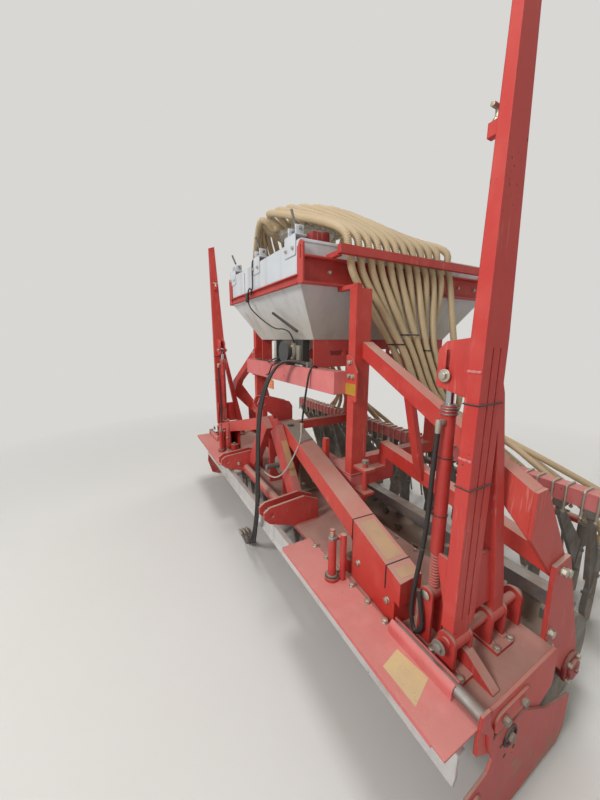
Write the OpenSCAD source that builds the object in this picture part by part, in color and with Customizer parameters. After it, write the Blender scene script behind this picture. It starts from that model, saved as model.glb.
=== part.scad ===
// Mounted seed drill on a power harrow, three metres wide, with its two track markers
// folded upright. Millimetres. X runs across the machine, +Y points to the tractor, Z is up.
// The origin is on the ground, under the middle of the machine's outer box.

/* [Harrow] */
// Width over the side deflectors' pivot caps
overall_w = 3000; // [2900:10:3100]
// Distance from the row of rotors forward of the origin
rotor_y = 505; // [480:5:530]
// Depth of the trough's box, front to back
trough_d = 300; // [260:5:320]
// Height of the trough's top above the ground
trough_top = 500; // [480:5:520]
// Height of the trough's box
trough_h = 160; // [140:5:170]
// Thickness of the trough's lid
lid_plate = 16; // [10:1:20]
// Reach of the lid behind the trough's box
flange_rear = 30; // [20:1:35]
// Reach of the lid in front of the trough's box
flange_front = 100; // [90:5:120]
// Distance of a tine from its rotor's axis, to its outer face
tine_reach = 134; // [120:1:138]
// Thickness of a tine
tine_t = 16; // [12:1:18]
// Width of a tine at its root
tine_w = 56; // [46:1:60]
// Width of the row of tines' holders
holder_w = 70; // [60:1:76]
// Diameter of a rotor's shaft
rotor_shaft_d = 40; // [30:1:50]

/* [Guards and ends] */
// Thickness of the trough's end plates
end_t = 10; // [8:1:12]
// Thickness of the side deflectors
deflector_t = 8; // [6:1:10]
// Thickness of the front guard plates
guard_t = 6; // [5:1:8]
// Depth of a front guard plate
guard_d = 158; // [150:1:170]
// Distance from the centre to a guard plate's inner end
guard_in = 590; // [560:5:620]
// Diameter of the tubes that carry the side deflectors
defl_tube_d = 36; // [32:1:38]
// Height of the levelling bar
level_h = 110; // [90:5:115]
// Ground clearance of the levelling bar, which is set high
level_z = 290; // [280:5:300]

/* [Hitch] */
// Height of the lower hitch pins
hitch_z = 600; // [590:5:620]
// Distance between the middles of the lower hitch points
hitch_w = 825; // [815:5:835]
// Diameter of the lower hitch pins
hitch_pin_d = 28; // [26:0.5:30]
// Clear width between the plates of a lower hitch point
hitch_gap = 52; // [50:1:56]
// Height of the top link pin above the lower pins
mast_h = 510; // [480:5:540]
// Diameter of the top link pin
top_pin_d = 25; // [24:0.5:26]
// Clear width between the top link's plates
top_gap = 54; // [52:1:60]
// Diameter of the power take-off shaft
pto_d = 35; // [33:0.5:37]
// Height of the power take-off shaft
pto_z = 665; // [655:5:675]

/* [Frame] */
// Height of the main arms' top at the middle
arm_top_in = 985; // [960:5:1000]
// Height of the main arms' top at their outer end
arm_top_out = 690; // [670:5:710]
// Thickness of the main arms, measured upright
arm_h = 92; // [80:2:100]
// Width of the main arms
arm_w = 104; // [96:1:108]
// Width of a tower post
post_w = 50; // [46:1:56]
// Depth of a tower post
post_d = 90; // [80:1:100]
// Distance from the centre to a post's outer face
post_out = 660; // [650:1:670]
// Top of the tower posts
post_top = 1730; // [1700:5:1740]
// Top of the upper cross beam
beam_top = 1350; // [1330:5:1360]
// Height of the upper cross beam
beam_h = 110; // [100:5:120]

/* [Roller] */
// Radius over the roller's teeth
roller_r = 240; // [230:1:250]
// Radius of the roller's drum
drum_r = 195; // [180:1:205]
// Distance of the roller's axle behind the rotors
roller_back = 440; // [430:5:460]
// Rings of teeth
ring_count = 20; // [18:1:22]
// Thickness of a ring of teeth
ring_t = 26; // [20:1:32]

/* [Hopper] */
// Width of the hopper
hopper_w = 1020; // [980:5:1040]
// Front of the hopper forward of the origin
hopper_front = 755; // [735:5:775]
// Length of the hopper, front to back
hopper_len = 1380; // [1350:10:1400]
// Height of the hopper's rim
hopper_top = 1943; // [1920:1:1960]
// Height of the shoulder where the funnel starts
hopper_shoulder = 1755; // [1745:1:1765]
// Height of the funnel's floor
hopper_floor = 1500; // [1490:1:1520]
// Sheet of the hopper
hopper_t = 5; // [4:0.5:6]

/* [Markers] */
// Height of the marker pivots
marker_z = 600; // [595:1:610]
// Tip of the folded marker arms
marker_top = 2360; // [2300:10:2400]
// Width of a marker arm's tube
marker_w = 40; // [36:1:44]
// Depth of a marker arm's tube
marker_d = 100; // [90:1:104]
// Diameter of the marker cylinders' barrels
barrel_d = 42; // [38:1:48]
// Diameter of the marker cylinders' rods
rod_d = 25; // [22:1:28]

/* [Seed line] */
// Distance between two coulters
coulter_pitch = 125; // [118:1:126]
// Diameter of the seed hoses
hose_d = 36; // [32:1:38]
// Diameter of the hydraulic hoses
oil_hose_d = 14; // [12:1:15]

/* [Hidden] */
$fn = 48;

red = [0.72, 0.22, 0.18];
faded = [0.80, 0.52, 0.48];
steel = [0.45, 0.45, 0.46];
pale = [0.82, 0.84, 0.86];
beige = [0.74, 0.66, 0.53];
dark = [0.14, 0.14, 0.15];

// Clearance of a shaft in its bore, and of a piece beside its seat
run_gap = 0.3;

rotor_count = 10;
deflector_cap_t = 7;
trough_len = overall_w - 2 * (end_t + deflector_t + deflector_cap_t);
rotor_pitch = trough_len / rotor_count;
trough_bottom = trough_top - trough_h;
trough_front = rotor_y + trough_d / 2;
trough_rear = rotor_y - trough_d / 2;
flange_front_y = trough_front + flange_front;
flange_rear_y = trough_rear - flange_rear;
housing_h = 15;
housing_r = 65;
housing_bore = 34;
rotor_top = trough_bottom - housing_h - run_gap;
end_in = trough_len / 2;
deflector_in = end_in + end_t;

roller_y = rotor_y - roller_back;
axle_r = 30;
drum_len = trough_len - 90;
truss_out = trough_len / 2 - 55;
end_plate_t = 12;
marker_x = trough_len / 2 - 135;
arm_out = marker_x - 160;

post_in = post_out - post_w;
post_front = rotor_y + 40;
post_rear = post_front - post_d;
beam_d = 80;
beam_rear = post_front;
low_beam_top = 830;
low_beam_h = 80;
low_beam_bottom = low_beam_top - low_beam_h;

hopper_rear = hopper_front - hopper_len;
funnel_in_x = 144;
funnel_in_front = 165;
funnel_in_rear = 165;
cradle_x = hopper_w / 2 - funnel_in_x;
cradle_front = hopper_front - funnel_in_front;
cradle_rear = hopper_rear + funnel_in_rear;

long_arm_x = 450;
long_arm_w = 60;
coulter_bar_y = -380;
coulter_bar_d = 80;
coulter_bar_top = 800;
hoses_a_side = 12;
coulter_bar_end = 27.5;
coulter_bar_out = (hoses_a_side - 0.5) * coulter_pitch + coulter_bar_end;
tine_bar_y = -830;
tine_bar_z = 430;
tine_bar_d = 50;
weld_gap = 0.5;
rear_leg_y = -300;
rear_leg_d = 60;

marker_y_front = rotor_y + 160;
marker_y_rear = rotor_y - 30;
cyl_foot = [marker_x - 95, marker_y_front - 10, marker_z + 80];
cyl_eye = [marker_x - 100, marker_y_front - 10, marker_z + 800];
cyl_len = norm(cyl_eye - cyl_foot);
cyl_lean = atan2(cyl_eye[0] - cyl_foot[0], cyl_eye[2] - cyl_foot[2]);
barrel_len = 630;

marker_pin_d = 30;
marker_eye_w = 62;
foot_pin_d = 20;
eye_plate_gap = 34;
eye_plate_t = 8;

// Keeps its child and adds its mirror image on the other side of the machine
module both() {
    children();
    mirror([1, 0, 0]) children();
}

// A plate that is drawn in the Y-Z plane and is thick from x to x + t
module plate_x(points, x, t) {
    translate([x, 0, 0]) rotate([90, 0, 90]) linear_extrude(t) polygon(points);
}

// A plate that is drawn in the X-Z plane and is thick from y to y + t
module plate_y(points, y, t) {
    translate([0, y + t, 0]) rotate([90, 0, 0]) linear_extrude(t) polygon(points);
}

// A block between two corners
module block(low, high) {
    translate(low) cube(high - low);
}

// A round bar along X, Y or Z
module rod_x(x0, x1, y, z, d) {
    translate([x0, y, z]) rotate([0, 90, 0]) cylinder(h = x1 - x0, d = d);
}
module rod_y(x, y0, y1, z, d) {
    translate([x, y1, z]) rotate([90, 0, 0]) cylinder(h = y1 - y0, d = d);
}
module rod_z(x, y, z0, z1, d) {
    translate([x, y, z0]) cylinder(h = z1 - z0, d = d);
}

// A bar of width w and depth d whose middle line runs from p to q in a plane of equal X
module bar_yz(p, q, x, w, d) {
    run = q - p;
    translate([x, p[0], p[1]])
        rotate([-atan2(run[0], run[1]), 0, 0])
            translate([-w / 2, -d / 2, 0]) cube([w, d, norm(run)]);
}

// Points on a smooth curve through the given ones, with steps pieces to a span
function curve_point(a, b, c, d, t) =
    0.5 * (2 * b + (c - a) * t + (2 * a - 5 * b + 4 * c - d) * t * t
        + (3 * b - a - 3 * c + d) * t * t * t);
function curve(pts, steps) = let (last = len(pts) - 1) [
    for (i = [0 : last - 1], s = [0 : steps - 1])
        curve_point(pts[max(i - 1, 0)], pts[i], pts[i + 1], pts[min(i + 2, last)], s / steps),
    pts[last]
];
function unit(v) = v / norm(v);
function heading(pts, i) = unit(pts[min(i + 1, len(pts) - 1)] - pts[max(i - 1, 0)]);
// A side direction for each ring, turned as little as the route allows
function sides(pts, i = 0, side = [0.31, 0.17, 0.94], found = []) =
    i == len(pts) ? found
    : let (h = heading(pts, i), s = unit(side - (side * h) * h))
        sides(pts, i + 1, s, concat(found, [s]));

// A tube along a route, as one closed shape with flat ends
module tube(pts, d, around) {
    side = sides(pts);
    rings = len(pts);
    points = [
        for (i = [0 : rings - 1], k = [0 : around - 1])
            let (a = 360 * k / around, other = cross(heading(pts, i), side[i]))
                pts[i] + d / 2 * (cos(a) * side[i] + sin(a) * other)
    ];
    walls = [
        for (i = [0 : rings - 2], k = [0 : around - 1])
            let (n = (k + 1) % around)
                [i * around + k, (i + 1) * around + k, (i + 1) * around + n, i * around + n]
    ];
    first = [[for (k = [0 : around - 1]) k]];
    last = [[for (k = [around - 1 : -1 : 0]) (rings - 1) * around + k]];
    polyhedron(points, concat(first, walls, last), convexity = 6);
}

function rotor_x(i) = (i - (rotor_count + 1) / 2) * rotor_pitch;

// The closed gear housing that carries the rotors, with its wide lid
module trough() {
    chamfer = 45;
    outline = [
        [trough_rear + chamfer, trough_bottom], [trough_front - chamfer, trough_bottom],
        [trough_front, trough_bottom + chamfer], [trough_front, trough_top - lid_plate],
        [flange_front_y, trough_top - lid_plate], [flange_front_y, trough_top],
        [flange_rear_y, trough_top], [flange_rear_y, trough_top - lid_plate],
        [trough_rear, trough_top - lid_plate], [trough_rear, trough_bottom + chamfer]
    ];
    color(red) difference() {
        union() {
            plate_x(outline, -end_in, trough_len);
            for (i = [1 : rotor_count])
                rod_z(rotor_x(i), rotor_y, trough_bottom - housing_h, trough_bottom + 1, 2 * housing_r);
        }
        for (i = [1 : rotor_count])
            rod_z(rotor_x(i), rotor_y, trough_bottom - housing_h - 1,
                trough_bottom - housing_h + housing_bore, rotor_shaft_d + 2 * run_gap);
    }
}

// One rotor with its shaft, holder and two knife tines; neighbours stand a quarter turn apart
module rotor(i) {
    hub_h = 30;
    holder_top = rotor_top - hub_h;
    holder_h = 26;
    tine_in = tine_reach - tine_t;
    blade = [
        [-tine_w / 2, holder_top - 1], [tine_w / 2, holder_top - 1], [tine_w / 2 + 2, 150],
        [14, 0], [-6, 0], [-tine_w / 2 + 6, 150]
    ];
    color(steel) translate([rotor_x(i), rotor_y, 0]) rotate([0, 0, i % 2 == 0 ? 90 : 0]) {
        rod_z(0, 0, rotor_top - 1, rotor_top + housing_bore - 4, rotor_shaft_d);
        rod_z(0, 0, holder_top, rotor_top, 96);
        block([-tine_in - 2, -holder_w / 2, holder_top - holder_h],
            [tine_in + 2, holder_w / 2, holder_top]);
        for (turn = [0, 180]) rotate([0, 0, turn]) plate_x(blade, tine_in, tine_t);
    }
}

// The plates that close the trough's two ends
module end_plates() {
    lip = 15;
    outline = [
        [flange_rear_y, trough_bottom + 20], [trough_rear + 60, trough_bottom - 20],
        [trough_front - 30, trough_bottom - 20], [flange_front_y, trough_bottom + 60],
        [flange_front_y, trough_top], [flange_front_y - 3 * lip, trough_top],
        [flange_front_y - 4 * lip, trough_top + lip], [flange_rear_y + lip, trough_top + lip],
        [flange_rear_y, trough_top]
    ];
    pad_z = trough_top - 45;
    pad_rear = rotor_y + 25;
    pad_front = rotor_y + 153;
    color(red) both() {
        plate_x(outline, end_in, end_t);
        block([deflector_in - 1, pad_rear, pad_z - 32], [deflector_in + 7, pad_front, pad_z + 32]);
        for (y = [pad_rear, pad_front])
            rod_x(deflector_in - 1, deflector_in + 7, y, pad_z, 64);
    }
}

tube_y = flange_front_y - 8;
tube_z = trough_top + guard_t + 23;

// The curved sheets that keep the soil in at both ends, hung from the end of their tubes
module side_deflectors() {
    front = flange_front_y;
    top = trough_top - 90;
    outline = [
        [front - 28, tube_z + 20], [front - 30, trough_top + 5], [front - 60, top + 42],
        [front - 62, top + 8], [rotor_y + 20, top - 5], [flange_rear_y + 40, 300], [flange_rear_y - 150, 230],
        [flange_rear_y - 150, 70], [flange_rear_y - 110, 30], [front - 60, 30],
        [front + 5, 60], [front + 45, 200], [front + 35, 285], [front - 55, 305],
        [front - 75, 340], [front - 45, top - 10], [front - 33, top + 50],
        [front + 12, trough_top + 5], [front + 10, tube_z + 20]
    ];
    color(faded) both() {
        plate_x(outline, deflector_in, deflector_t);
        rod_x(deflector_in + deflector_t - 1, overall_w / 2, front - 10, 240, 46);
    }
}

spindle_x = 870;
spindle_y = flange_front_y + 45;
spindle_d = 34;

// The flat plates over the front of the harrow, with the slit sleeves of the deflectors' tubes
module front_guards() {
    back = flange_front_y - 15;
    front = back + guard_d;
    lip = 9;
    sleeve_d = 48;
    sleeve_in = end_in - 305;
    sleeve_out = end_in - 65;
    slit = 13;
    color(faded) both() difference() {
        union() {
            block([guard_in, back, trough_top], [deflector_in, front, trough_top + guard_t]);
            block([guard_in, front - guard_t, trough_top - lip],
                [deflector_in - 40, front, trough_top + 1]);
            rod_x(sleeve_in, sleeve_out, tube_y, tube_z, sleeve_d);
            block([sleeve_in, tube_y - sleeve_d / 2, trough_top + guard_t - 1],
                [sleeve_out, tube_y + sleeve_d / 2, tube_z]);
        }
        rod_x(sleeve_in + 12, sleeve_out + 1, tube_y, tube_z, defl_tube_d + 2 * run_gap);
        block([sleeve_in - 1, tube_y - slit / 2, tube_z + 10],
            [sleeve_out + 1, tube_y + slit / 2, tube_z + sleeve_d]);
        block([sleeve_in - 1, back - 20, trough_top - lip - 1], [sleeve_out + 1, back, trough_top]);
        rod_z(spindle_x, spindle_y, trough_top - 1, trough_top + guard_t + 1,
            spindle_d + 2 * run_gap);
    }
}

// The tubes on which the side deflectors slide, in the slit sleeves on the guards
module deflector_tubes() {
    color(steel) both()
        rod_x(end_in - 290, deflector_in, tube_y, tube_z, defl_tube_d);
}

bar_y = flange_front_y + 40;
bar_fold = 30;

// The bar that levels the soil in front of the rotors: a sheet with its top folded back
module levelling_bar() {
    sheet = 8;
    top = level_z + level_h;
    face = [
        [bar_y - bar_fold, top], [bar_y - bar_fold, top - sheet], [bar_y - sheet, top - sheet],
        [bar_y - sheet, level_z + 25], [bar_y + 2, level_z], [bar_y + 10, level_z + 4],
        [bar_y, level_z + 28], [bar_y, top]
    ];
    color(pale) plate_x(face, 15 - trough_len / 2, trough_len - 30);
}

// The spindles that set the levelling bar through the guards, and the arms that guide it
module bar_adjusters() {
    bar_top = level_z + level_h;
    plate_top = trough_top + guard_t;
    arm_x = 1000;
    arm_t = 12;
    guide = [
        [trough_front, trough_top - 40], [trough_front, trough_top - 85],
        [bar_y - bar_fold - 20, bar_top - 30], [bar_y - bar_fold, bar_top - 30],
        [bar_y - bar_fold, bar_top], [bar_y - 10, bar_top], [bar_y - 10, bar_top + 25]
    ];
    color(red) both() {
        plate_x(guide, arm_x, arm_t);
        rod_z(spindle_x, spindle_y, bar_top, trough_top + 195, spindle_d);
        rod_z(spindle_x, spindle_y, trough_top + 194, trough_top + 235, 20);
        rod_z(spindle_x, spindle_y, plate_top, plate_top + 14, 62);
        rod_z(spindle_x + 25, spindle_y - 38, plate_top, trough_top + 215, 26);
        rod_z(spindle_x - 10, spindle_y - 117, trough_top, trough_top + 60, 66);
        rod_x(spindle_x - 5, spindle_x + 30, spindle_y - 38, trough_top + 190, 20);
        rod_y(spindle_x, spindle_y - 40, spindle_y, trough_top + 190, 20);
    }
}

top_pin_y = rotor_y + 250;
top_pin_z = hitch_z + mast_h;
head_front = rotor_y + 155;
head_rear = rotor_y + 48;
head_x = 115;
head_low = 870;
top_ear_t = 15;
hitch_pin_y = flange_front_y + 135;
hitch_plate_t = 14;
hitch_inner = hitch_w / 2 - hitch_gap / 2 - hitch_plate_t;
hitch_outer = hitch_inner + 2 * hitch_plate_t + hitch_gap;

// The mast in the middle: two legs, the box that the arms meet, and the top link's plates
module headstock() {
    leg_t = 15;
    ear = [
        [head_rear, arm_top_in - 2], [head_front, arm_top_in - 2], [head_front, arm_top_in + 20],
        [top_pin_y - 20, top_pin_z - 42], [top_pin_y + 22, top_pin_z - 36],
        [top_pin_y + 40, top_pin_z], [top_pin_y + 22, top_pin_z + 36],
        [top_pin_y - 30, top_pin_z + 42], [head_rear + 20, arm_top_in + 120],
        [head_rear, arm_top_in + 90]
    ];
    color(red) difference() {
        union() {
            both() block([head_x - leg_t, head_rear, trough_top], [head_x, head_front, head_low + 1]);
            block([-head_x, head_rear, head_low], [head_x, head_front, arm_top_in]);
            both() plate_x(ear, top_gap / 2, top_ear_t);
        }
        rod_x(-head_x, head_x, top_pin_y, top_pin_z, top_pin_d + 2 * run_gap);
    }
}

// The two long arms that run down from the mast to the trough's ends, with their feet
module main_arms() {
    slope = (arm_top_in - arm_top_out) / (arm_out - head_x);
    yaw = 4.6;
    mid_y = rotor_y + 95;
    foot_in = 900;
    foot_end = arm_out - 15;
    plate_t = 12;
    function top_at(x) = arm_top_in - slope * (x - head_x);
    profile = [
        [head_x - 40, top_at(head_x - 40)], [arm_out + 40, top_at(arm_out + 40)],
        [arm_out + 40, top_at(arm_out + 40) - arm_h], [head_x - 40, top_at(head_x - 40) - arm_h]
    ];
    foot = [
        [foot_in, trough_top], [foot_end, trough_top], [foot_end, top_at(foot_end) - arm_h + 2],
        [foot_in, top_at(foot_in) - arm_h + 2]
    ];
    color(red) both() {
        intersection() {
            translate([head_x, mid_y, 0]) rotate([0, 0, yaw]) translate([-head_x, 0, 0])
                plate_y(profile, -arm_w / 2, arm_w);
            block([head_x, 0, 0], [arm_out, flange_front_y, marker_top]);
        }
        translate([head_x, mid_y, 0]) rotate([0, 0, yaw]) translate([-head_x, 0, 0]) {
            for (y = [-arm_w / 2, arm_w / 2 - plate_t]) plate_y(foot, y, plate_t);
            block([foot_end - plate_t, -arm_w / 2, trough_top],
                [foot_end, arm_w / 2, top_at(foot_end) - arm_h + 2]);
        }
    }
}

// The lower hitch points: pairs of plates on the lid, tied to the mast by a leaning strut
module hitch_cheeks() {
    cheek = [
        [flange_front_y - 150, trough_top], [flange_front_y, trough_top],
        [hitch_pin_y + 12, hitch_z - 46], [hitch_pin_y + 42, hitch_z - 16],
        [hitch_pin_y + 42, hitch_z + 22],
        [hitch_pin_y + 10, hitch_z + 44], [flange_front_y - 60, hitch_z + 60],
        [flange_front_y - 150, hitch_z + 20]
    ];
    color(red) both() difference() {
        for (x = [hitch_inner, hitch_outer - hitch_plate_t]) plate_x(cheek, x, hitch_plate_t);
        rod_x(hitch_inner - 1, hitch_outer + 1, hitch_pin_y, hitch_z,
            hitch_pin_d + 2 * run_gap);
    }
}

module hitch_struts() {
    strut = [
        [head_x + 2, arm_top_in - 5], [33, arm_top_in - 65], [hitch_inner - 80, hitch_z - 35],
        [hitch_inner, hitch_z - 35], [hitch_inner, hitch_z + 25]
    ];
    color(red) both() plate_y(strut, head_front, 48);
}

module hitch_tube() {
    color(red) rod_x(-hitch_inner, hitch_inner, flange_front_y - 15, trough_top + 26, 50);
}

gear_back = rotor_y - 145;
gear_front = rotor_y + 40;
snout = gear_front + 95;

// The bevel gearbox on the middle of the trough, with the snout that the shaft leaves by
module gearbox() {
    top = trough_top + 235;
    body = [
        [-140, trough_top], [140, trough_top], [140, top - 70], [90, top], [-90, top],
        [-140, top - 70]
    ];
    color(steel) difference() {
        union() {
            plate_y(body, gear_back, gear_front - gear_back);
            rod_y(0, gear_front - 1, snout, pto_z, 120);
            rod_y(0, gear_front - 1, gear_front + 20, pto_z, 170);
            for (x = [-60, -30, 0, 30, 60])
                block([x - 4, gear_back + 8, top - 1], [x + 4, gear_front - 8, top + 12]);
        }
        rod_y(0, gear_front + 20, snout + 1, pto_z, pto_d + 2 * run_gap);
    }
}

// The splined shaft that takes the drive
module pto_shaft() {
    splines = 6;
    color(steel) {
        rod_y(0, gear_front + 26, snout + 20, pto_z, pto_d);
        translate([0, snout + 90, pto_z]) rotate([90, 0, 0]) linear_extrude(71) union() {
            circle(d = pto_d - 5);
            for (k = [0 : splines - 1]) rotate(k * 360 / splines)
                translate([pto_d / 2 - 4, -4]) square([4, 8]);
        }
    }
}

// The two upright posts of the tower, with the plate at the beam and a pinned clevis at the foot
module posts() {
    plate = [
        [post_in, beam_top - beam_h - 30], [post_out + 30, beam_top - beam_h - 30],
        [post_out + 30, beam_top], [post_out - 20, beam_top + 80], [post_in, beam_top + 80]
    ];
    clevis_t = 14;
    clevis_out = post_out + 90;
    mid_y = (post_front + post_rear) / 2;
    color(red) both() {
        difference() {
            union() {
                block([post_in, post_rear, low_beam_top], [post_out, post_front, post_top]);
                plate_y(plate, post_front, 10);
            }
            block([post_in - 1, post_front - 1, beam_top - beam_h - 31],
                [post_out - 12, post_front + 11, beam_top - beam_h + 15]);
        }
        for (z = [low_beam_bottom, low_beam_top + 40])
            block([post_out, mid_y - 32, z], [clevis_out, mid_y + 32, z + clevis_t]);
        rod_z(post_out + 52, mid_y, low_beam_bottom - 40, low_beam_top + 75, 24);
    }
}

// The beams across: upper, lower, the one under the hopper's rear, and the coulter bar
module cross_beams() {
    color(faded) {
        block([-post_in + 1, beam_rear, beam_top - beam_h],
            [post_in - 1, beam_rear + beam_d, beam_top]);
        block([-post_out, post_rear, low_beam_bottom], [post_out, post_front, low_beam_top]);
        block([-long_arm_x - 30, rear_leg_y - rear_leg_d / 2, beam_top - 50],
            [long_arm_x + 30, rear_leg_y + rear_leg_d / 2, beam_top]);
        block([-coulter_bar_out, coulter_bar_y - coulter_bar_d / 2,
                coulter_bar_top - coulter_bar_d],
            [coulter_bar_out, coulter_bar_y + coulter_bar_d / 2, coulter_bar_top]);
    }
}

truss_low_y = 275;
truss_low_d = 60;
truss_top_y = post_rear - 15;
truss_top_d = 60;
// Fall of the upper and lower truss beams for each millimetre outward
top_fall = 0.545;
low_fall = 0.195;
truss_top_z = 1490;
truss_low_z = 940;
upper_out_z = truss_top_z - top_fall * (truss_out - post_out);
lower_out_z = truss_low_z - low_fall * (truss_out - post_out);
gusset_h = 150;

// The sloping upper beams from the posts out to the roller's ends
module truss_tops() {
    deep = 75;
    color(red) both() plate_y([
        [post_out, truss_top_z], [truss_out, upper_out_z], [truss_out, upper_out_z - gusset_h],
        [truss_out - 160, upper_out_z + top_fall * 160 - deep], [post_out, truss_top_z - deep]
    ], truss_top_y, truss_top_d);
}

// The lower beams, their end plates and the brace to the upper beam
module truss_lowers() {
    deep = 70;
    low_front = truss_low_y + truss_low_d / 2;
    low_rear = truss_low_y - truss_low_d / 2;
    top_front = truss_top_y + truss_top_d;
    inner_z = truss_low_z + low_fall * 60;
    end_plate = [
        [low_rear, lower_out_z - deep], [low_rear, lower_out_z], [truss_top_y, upper_out_z],
        [top_front, upper_out_z], [top_front, upper_out_z - gusset_h],
        [low_front, lower_out_z - deep]
    ];
    brace_x = post_out + 200;
    brace_w = 40;
    brace_top = truss_top_z - top_fall * (brace_x - post_out) - 35;
    brace_low = truss_low_z - low_fall * (brace_x - post_out) - 50;
    brace = [
        [truss_top_y, brace_top], [truss_top_y, brace_top - 45], [low_front + 14, brace_low],
        [low_front - 1, brace_low], [low_front - 1, brace_low + 55], [truss_top_y - 14, brace_top]
    ];
    color(red) both() {
        plate_y([
            [post_out - 60, inner_z], [truss_out, lower_out_z], [truss_out, lower_out_z - deep],
            [post_out - 60, inner_z - deep]
        ], low_rear, truss_low_d);
        plate_x(end_plate, truss_out, end_plate_t);
        plate_x(brace, brace_x, brace_w);
        block([post_out - 60, low_front - 1, low_beam_bottom],
            [post_out - 10, post_rear, low_beam_top]);
        block([post_out - 60, low_rear, low_beam_bottom],
            [post_out - 10, low_front, low_beam_top + 60]);
    }
}

// The arms that hold the roller's axle at both ends, hung from the trusses and the trough
module roller_frame() {
    side = truss_out + end_plate_t;
    arm = [
        [truss_low_y + 60, lower_out_z - 10], [truss_low_y - 40, lower_out_z],
        [roller_y - 50, roller_r + 60], [roller_y - 55, roller_r - 20],
        [roller_y - 20, roller_r - 55], [roller_y + 30, roller_r - 50],
        [roller_y + 60, roller_r + 10], [flange_rear_y, trough_top - 60],
        [flange_rear_y, trough_top]
    ];
    color(red) both() difference() {
        plate_x(arm, side, 14);
        rod_x(side - 1, side + 15, roller_y, roller_r, 2 * axle_r + 2 * run_gap);
    }
}

// The roller: a drum with rings of teeth, each ring turned against the next
module packer_roller() {
    teeth = 10;
    span = drum_len - 120;
    step = span / (ring_count - 1);
    tip = 26;
    root = drum_r - 4;
    ring = [
        for (k = [0 : teeth - 1], c = [[-13, root], [-4, roller_r], [4, roller_r], [13, root]])
            let (turn = k * 360 / teeth + asin(c[0] * tip / 20 / c[1]))
                c[1] * [cos(turn), sin(turn)]
    ];
    color(steel) {
        rod_x(-drum_len / 2, drum_len / 2, roller_y, roller_r, 2 * drum_r);
        rod_x(-truss_out - 24, truss_out + 24, roller_y, roller_r, 2 * axle_r);
        for (i = [0 : ring_count - 1])
            translate([-span / 2 + i * step - ring_t / 2, roller_y, roller_r])
                rotate([90, 0, 90]) rotate([0, 0, i % 3 * 12])
                    linear_extrude(ring_t) polygon(ring);
    }
}

// The bar behind the roller that carries one scraper between each two rings
module scrapers() {
    span = drum_len - 120;
    step = span / (ring_count - 1);
    bar_y = roller_y + 60;
    bar_low = 520;
    color(steel) {
        block([-truss_out - end_plate_t, bar_y, bar_low],
            [truss_out + end_plate_t, bar_y + 60, bar_low + 60]);
        for (i = [0 : ring_count - 2])
            translate([-span / 2 + (i + 0.5) * step, 0, 0]) {
                plate_x([
                    [bar_y - 12, bar_low + 50], [bar_y + 1, bar_low + 50], [bar_y + 1, bar_low],
                    [roller_y + 20, roller_r + drum_r + 6], [roller_y + 6, roller_r + drum_r + 8],
                    [bar_y - 22, bar_low]
                ], -35, 70);
            }
    }
}

// The pierced side panels under the hopper
module hopper_cradle() {
    t = 8;
    low = beam_top;
    color(red) both() difference() {
        block([cradle_x - t, cradle_rear, low], [cradle_x, cradle_front, hopper_floor]);
        for (y = [cradle_front - 150 : -170 : cradle_rear + 100]) {
            block([cradle_x - t - 1, y - 40, low + 62], [cradle_x + 1, y + 40, low + 92]);
            rod_x(cradle_x - t - 1, cradle_x + 1, y - 80, low + 78, 30);
        }
    }
}

module hopper_shape(inset) {
    w = hopper_w / 2 - inset;
    f = hopper_front - inset;
    r = hopper_rear + inset;
    hull() {
        block([-w, r, hopper_shoulder], [w, f, hopper_top + (inset > 0 ? 1 : 0)]);
        block([-w + funnel_in_x, r + funnel_in_rear, hopper_floor + inset],
            [w - funnel_in_x, f - funnel_in_front, hopper_floor + inset + 1]);
    }
}

deck_rear = -150;
head_y = 425;
riser_d = 110;
lid_hinge_x = 300;
lid_axis_y = hopper_rear - 16;
lid_axis_z = hopper_top + 6;

// The sheet hopper: upright walls on a funnel, and a fixed deck over its front part
module hopper() {
    color(pale) difference() {
        union() {
            difference() {
                hopper_shape(0);
                hopper_shape(hopper_t);
            }
            block([-hopper_w / 2 + 1, deck_rear, hopper_top - hopper_t],
                [hopper_w / 2 - 1, hopper_front - 1, hopper_top]);
        }
        rod_z(0, head_y, hopper_floor - 10, hopper_top + 10, riser_d + 2 * run_gap);
    }
    color(steel) both() {
        for (s = [-1, 1]) translate([lid_hinge_x + s * 24, 0, 0]) {
            block([-3, lid_axis_y, lid_axis_z - 30], [3, hopper_rear, lid_axis_z - 4]);
            rod_x(-3, 3, lid_axis_y, lid_axis_z, 24);
            block([-3, lid_axis_y - 12, lid_axis_z - 30], [3, lid_axis_y + 10, lid_axis_z]);
        }
        rod_x(lid_hinge_x - 27, lid_hinge_x + 27, lid_axis_y, lid_axis_z, 10);
    }
}

frame_lip = 45;
rail_in = hopper_w / 2 + frame_lip + hose_d + 9;
hose_x = (hopper_w / 2 + frame_lip + rail_in) / 2;
rail_first = 532;
rail_step = 61;
function rail_y(i) = rail_first - i * rail_step - (i == hoses_a_side - 1 ? 24 : 0);

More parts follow.
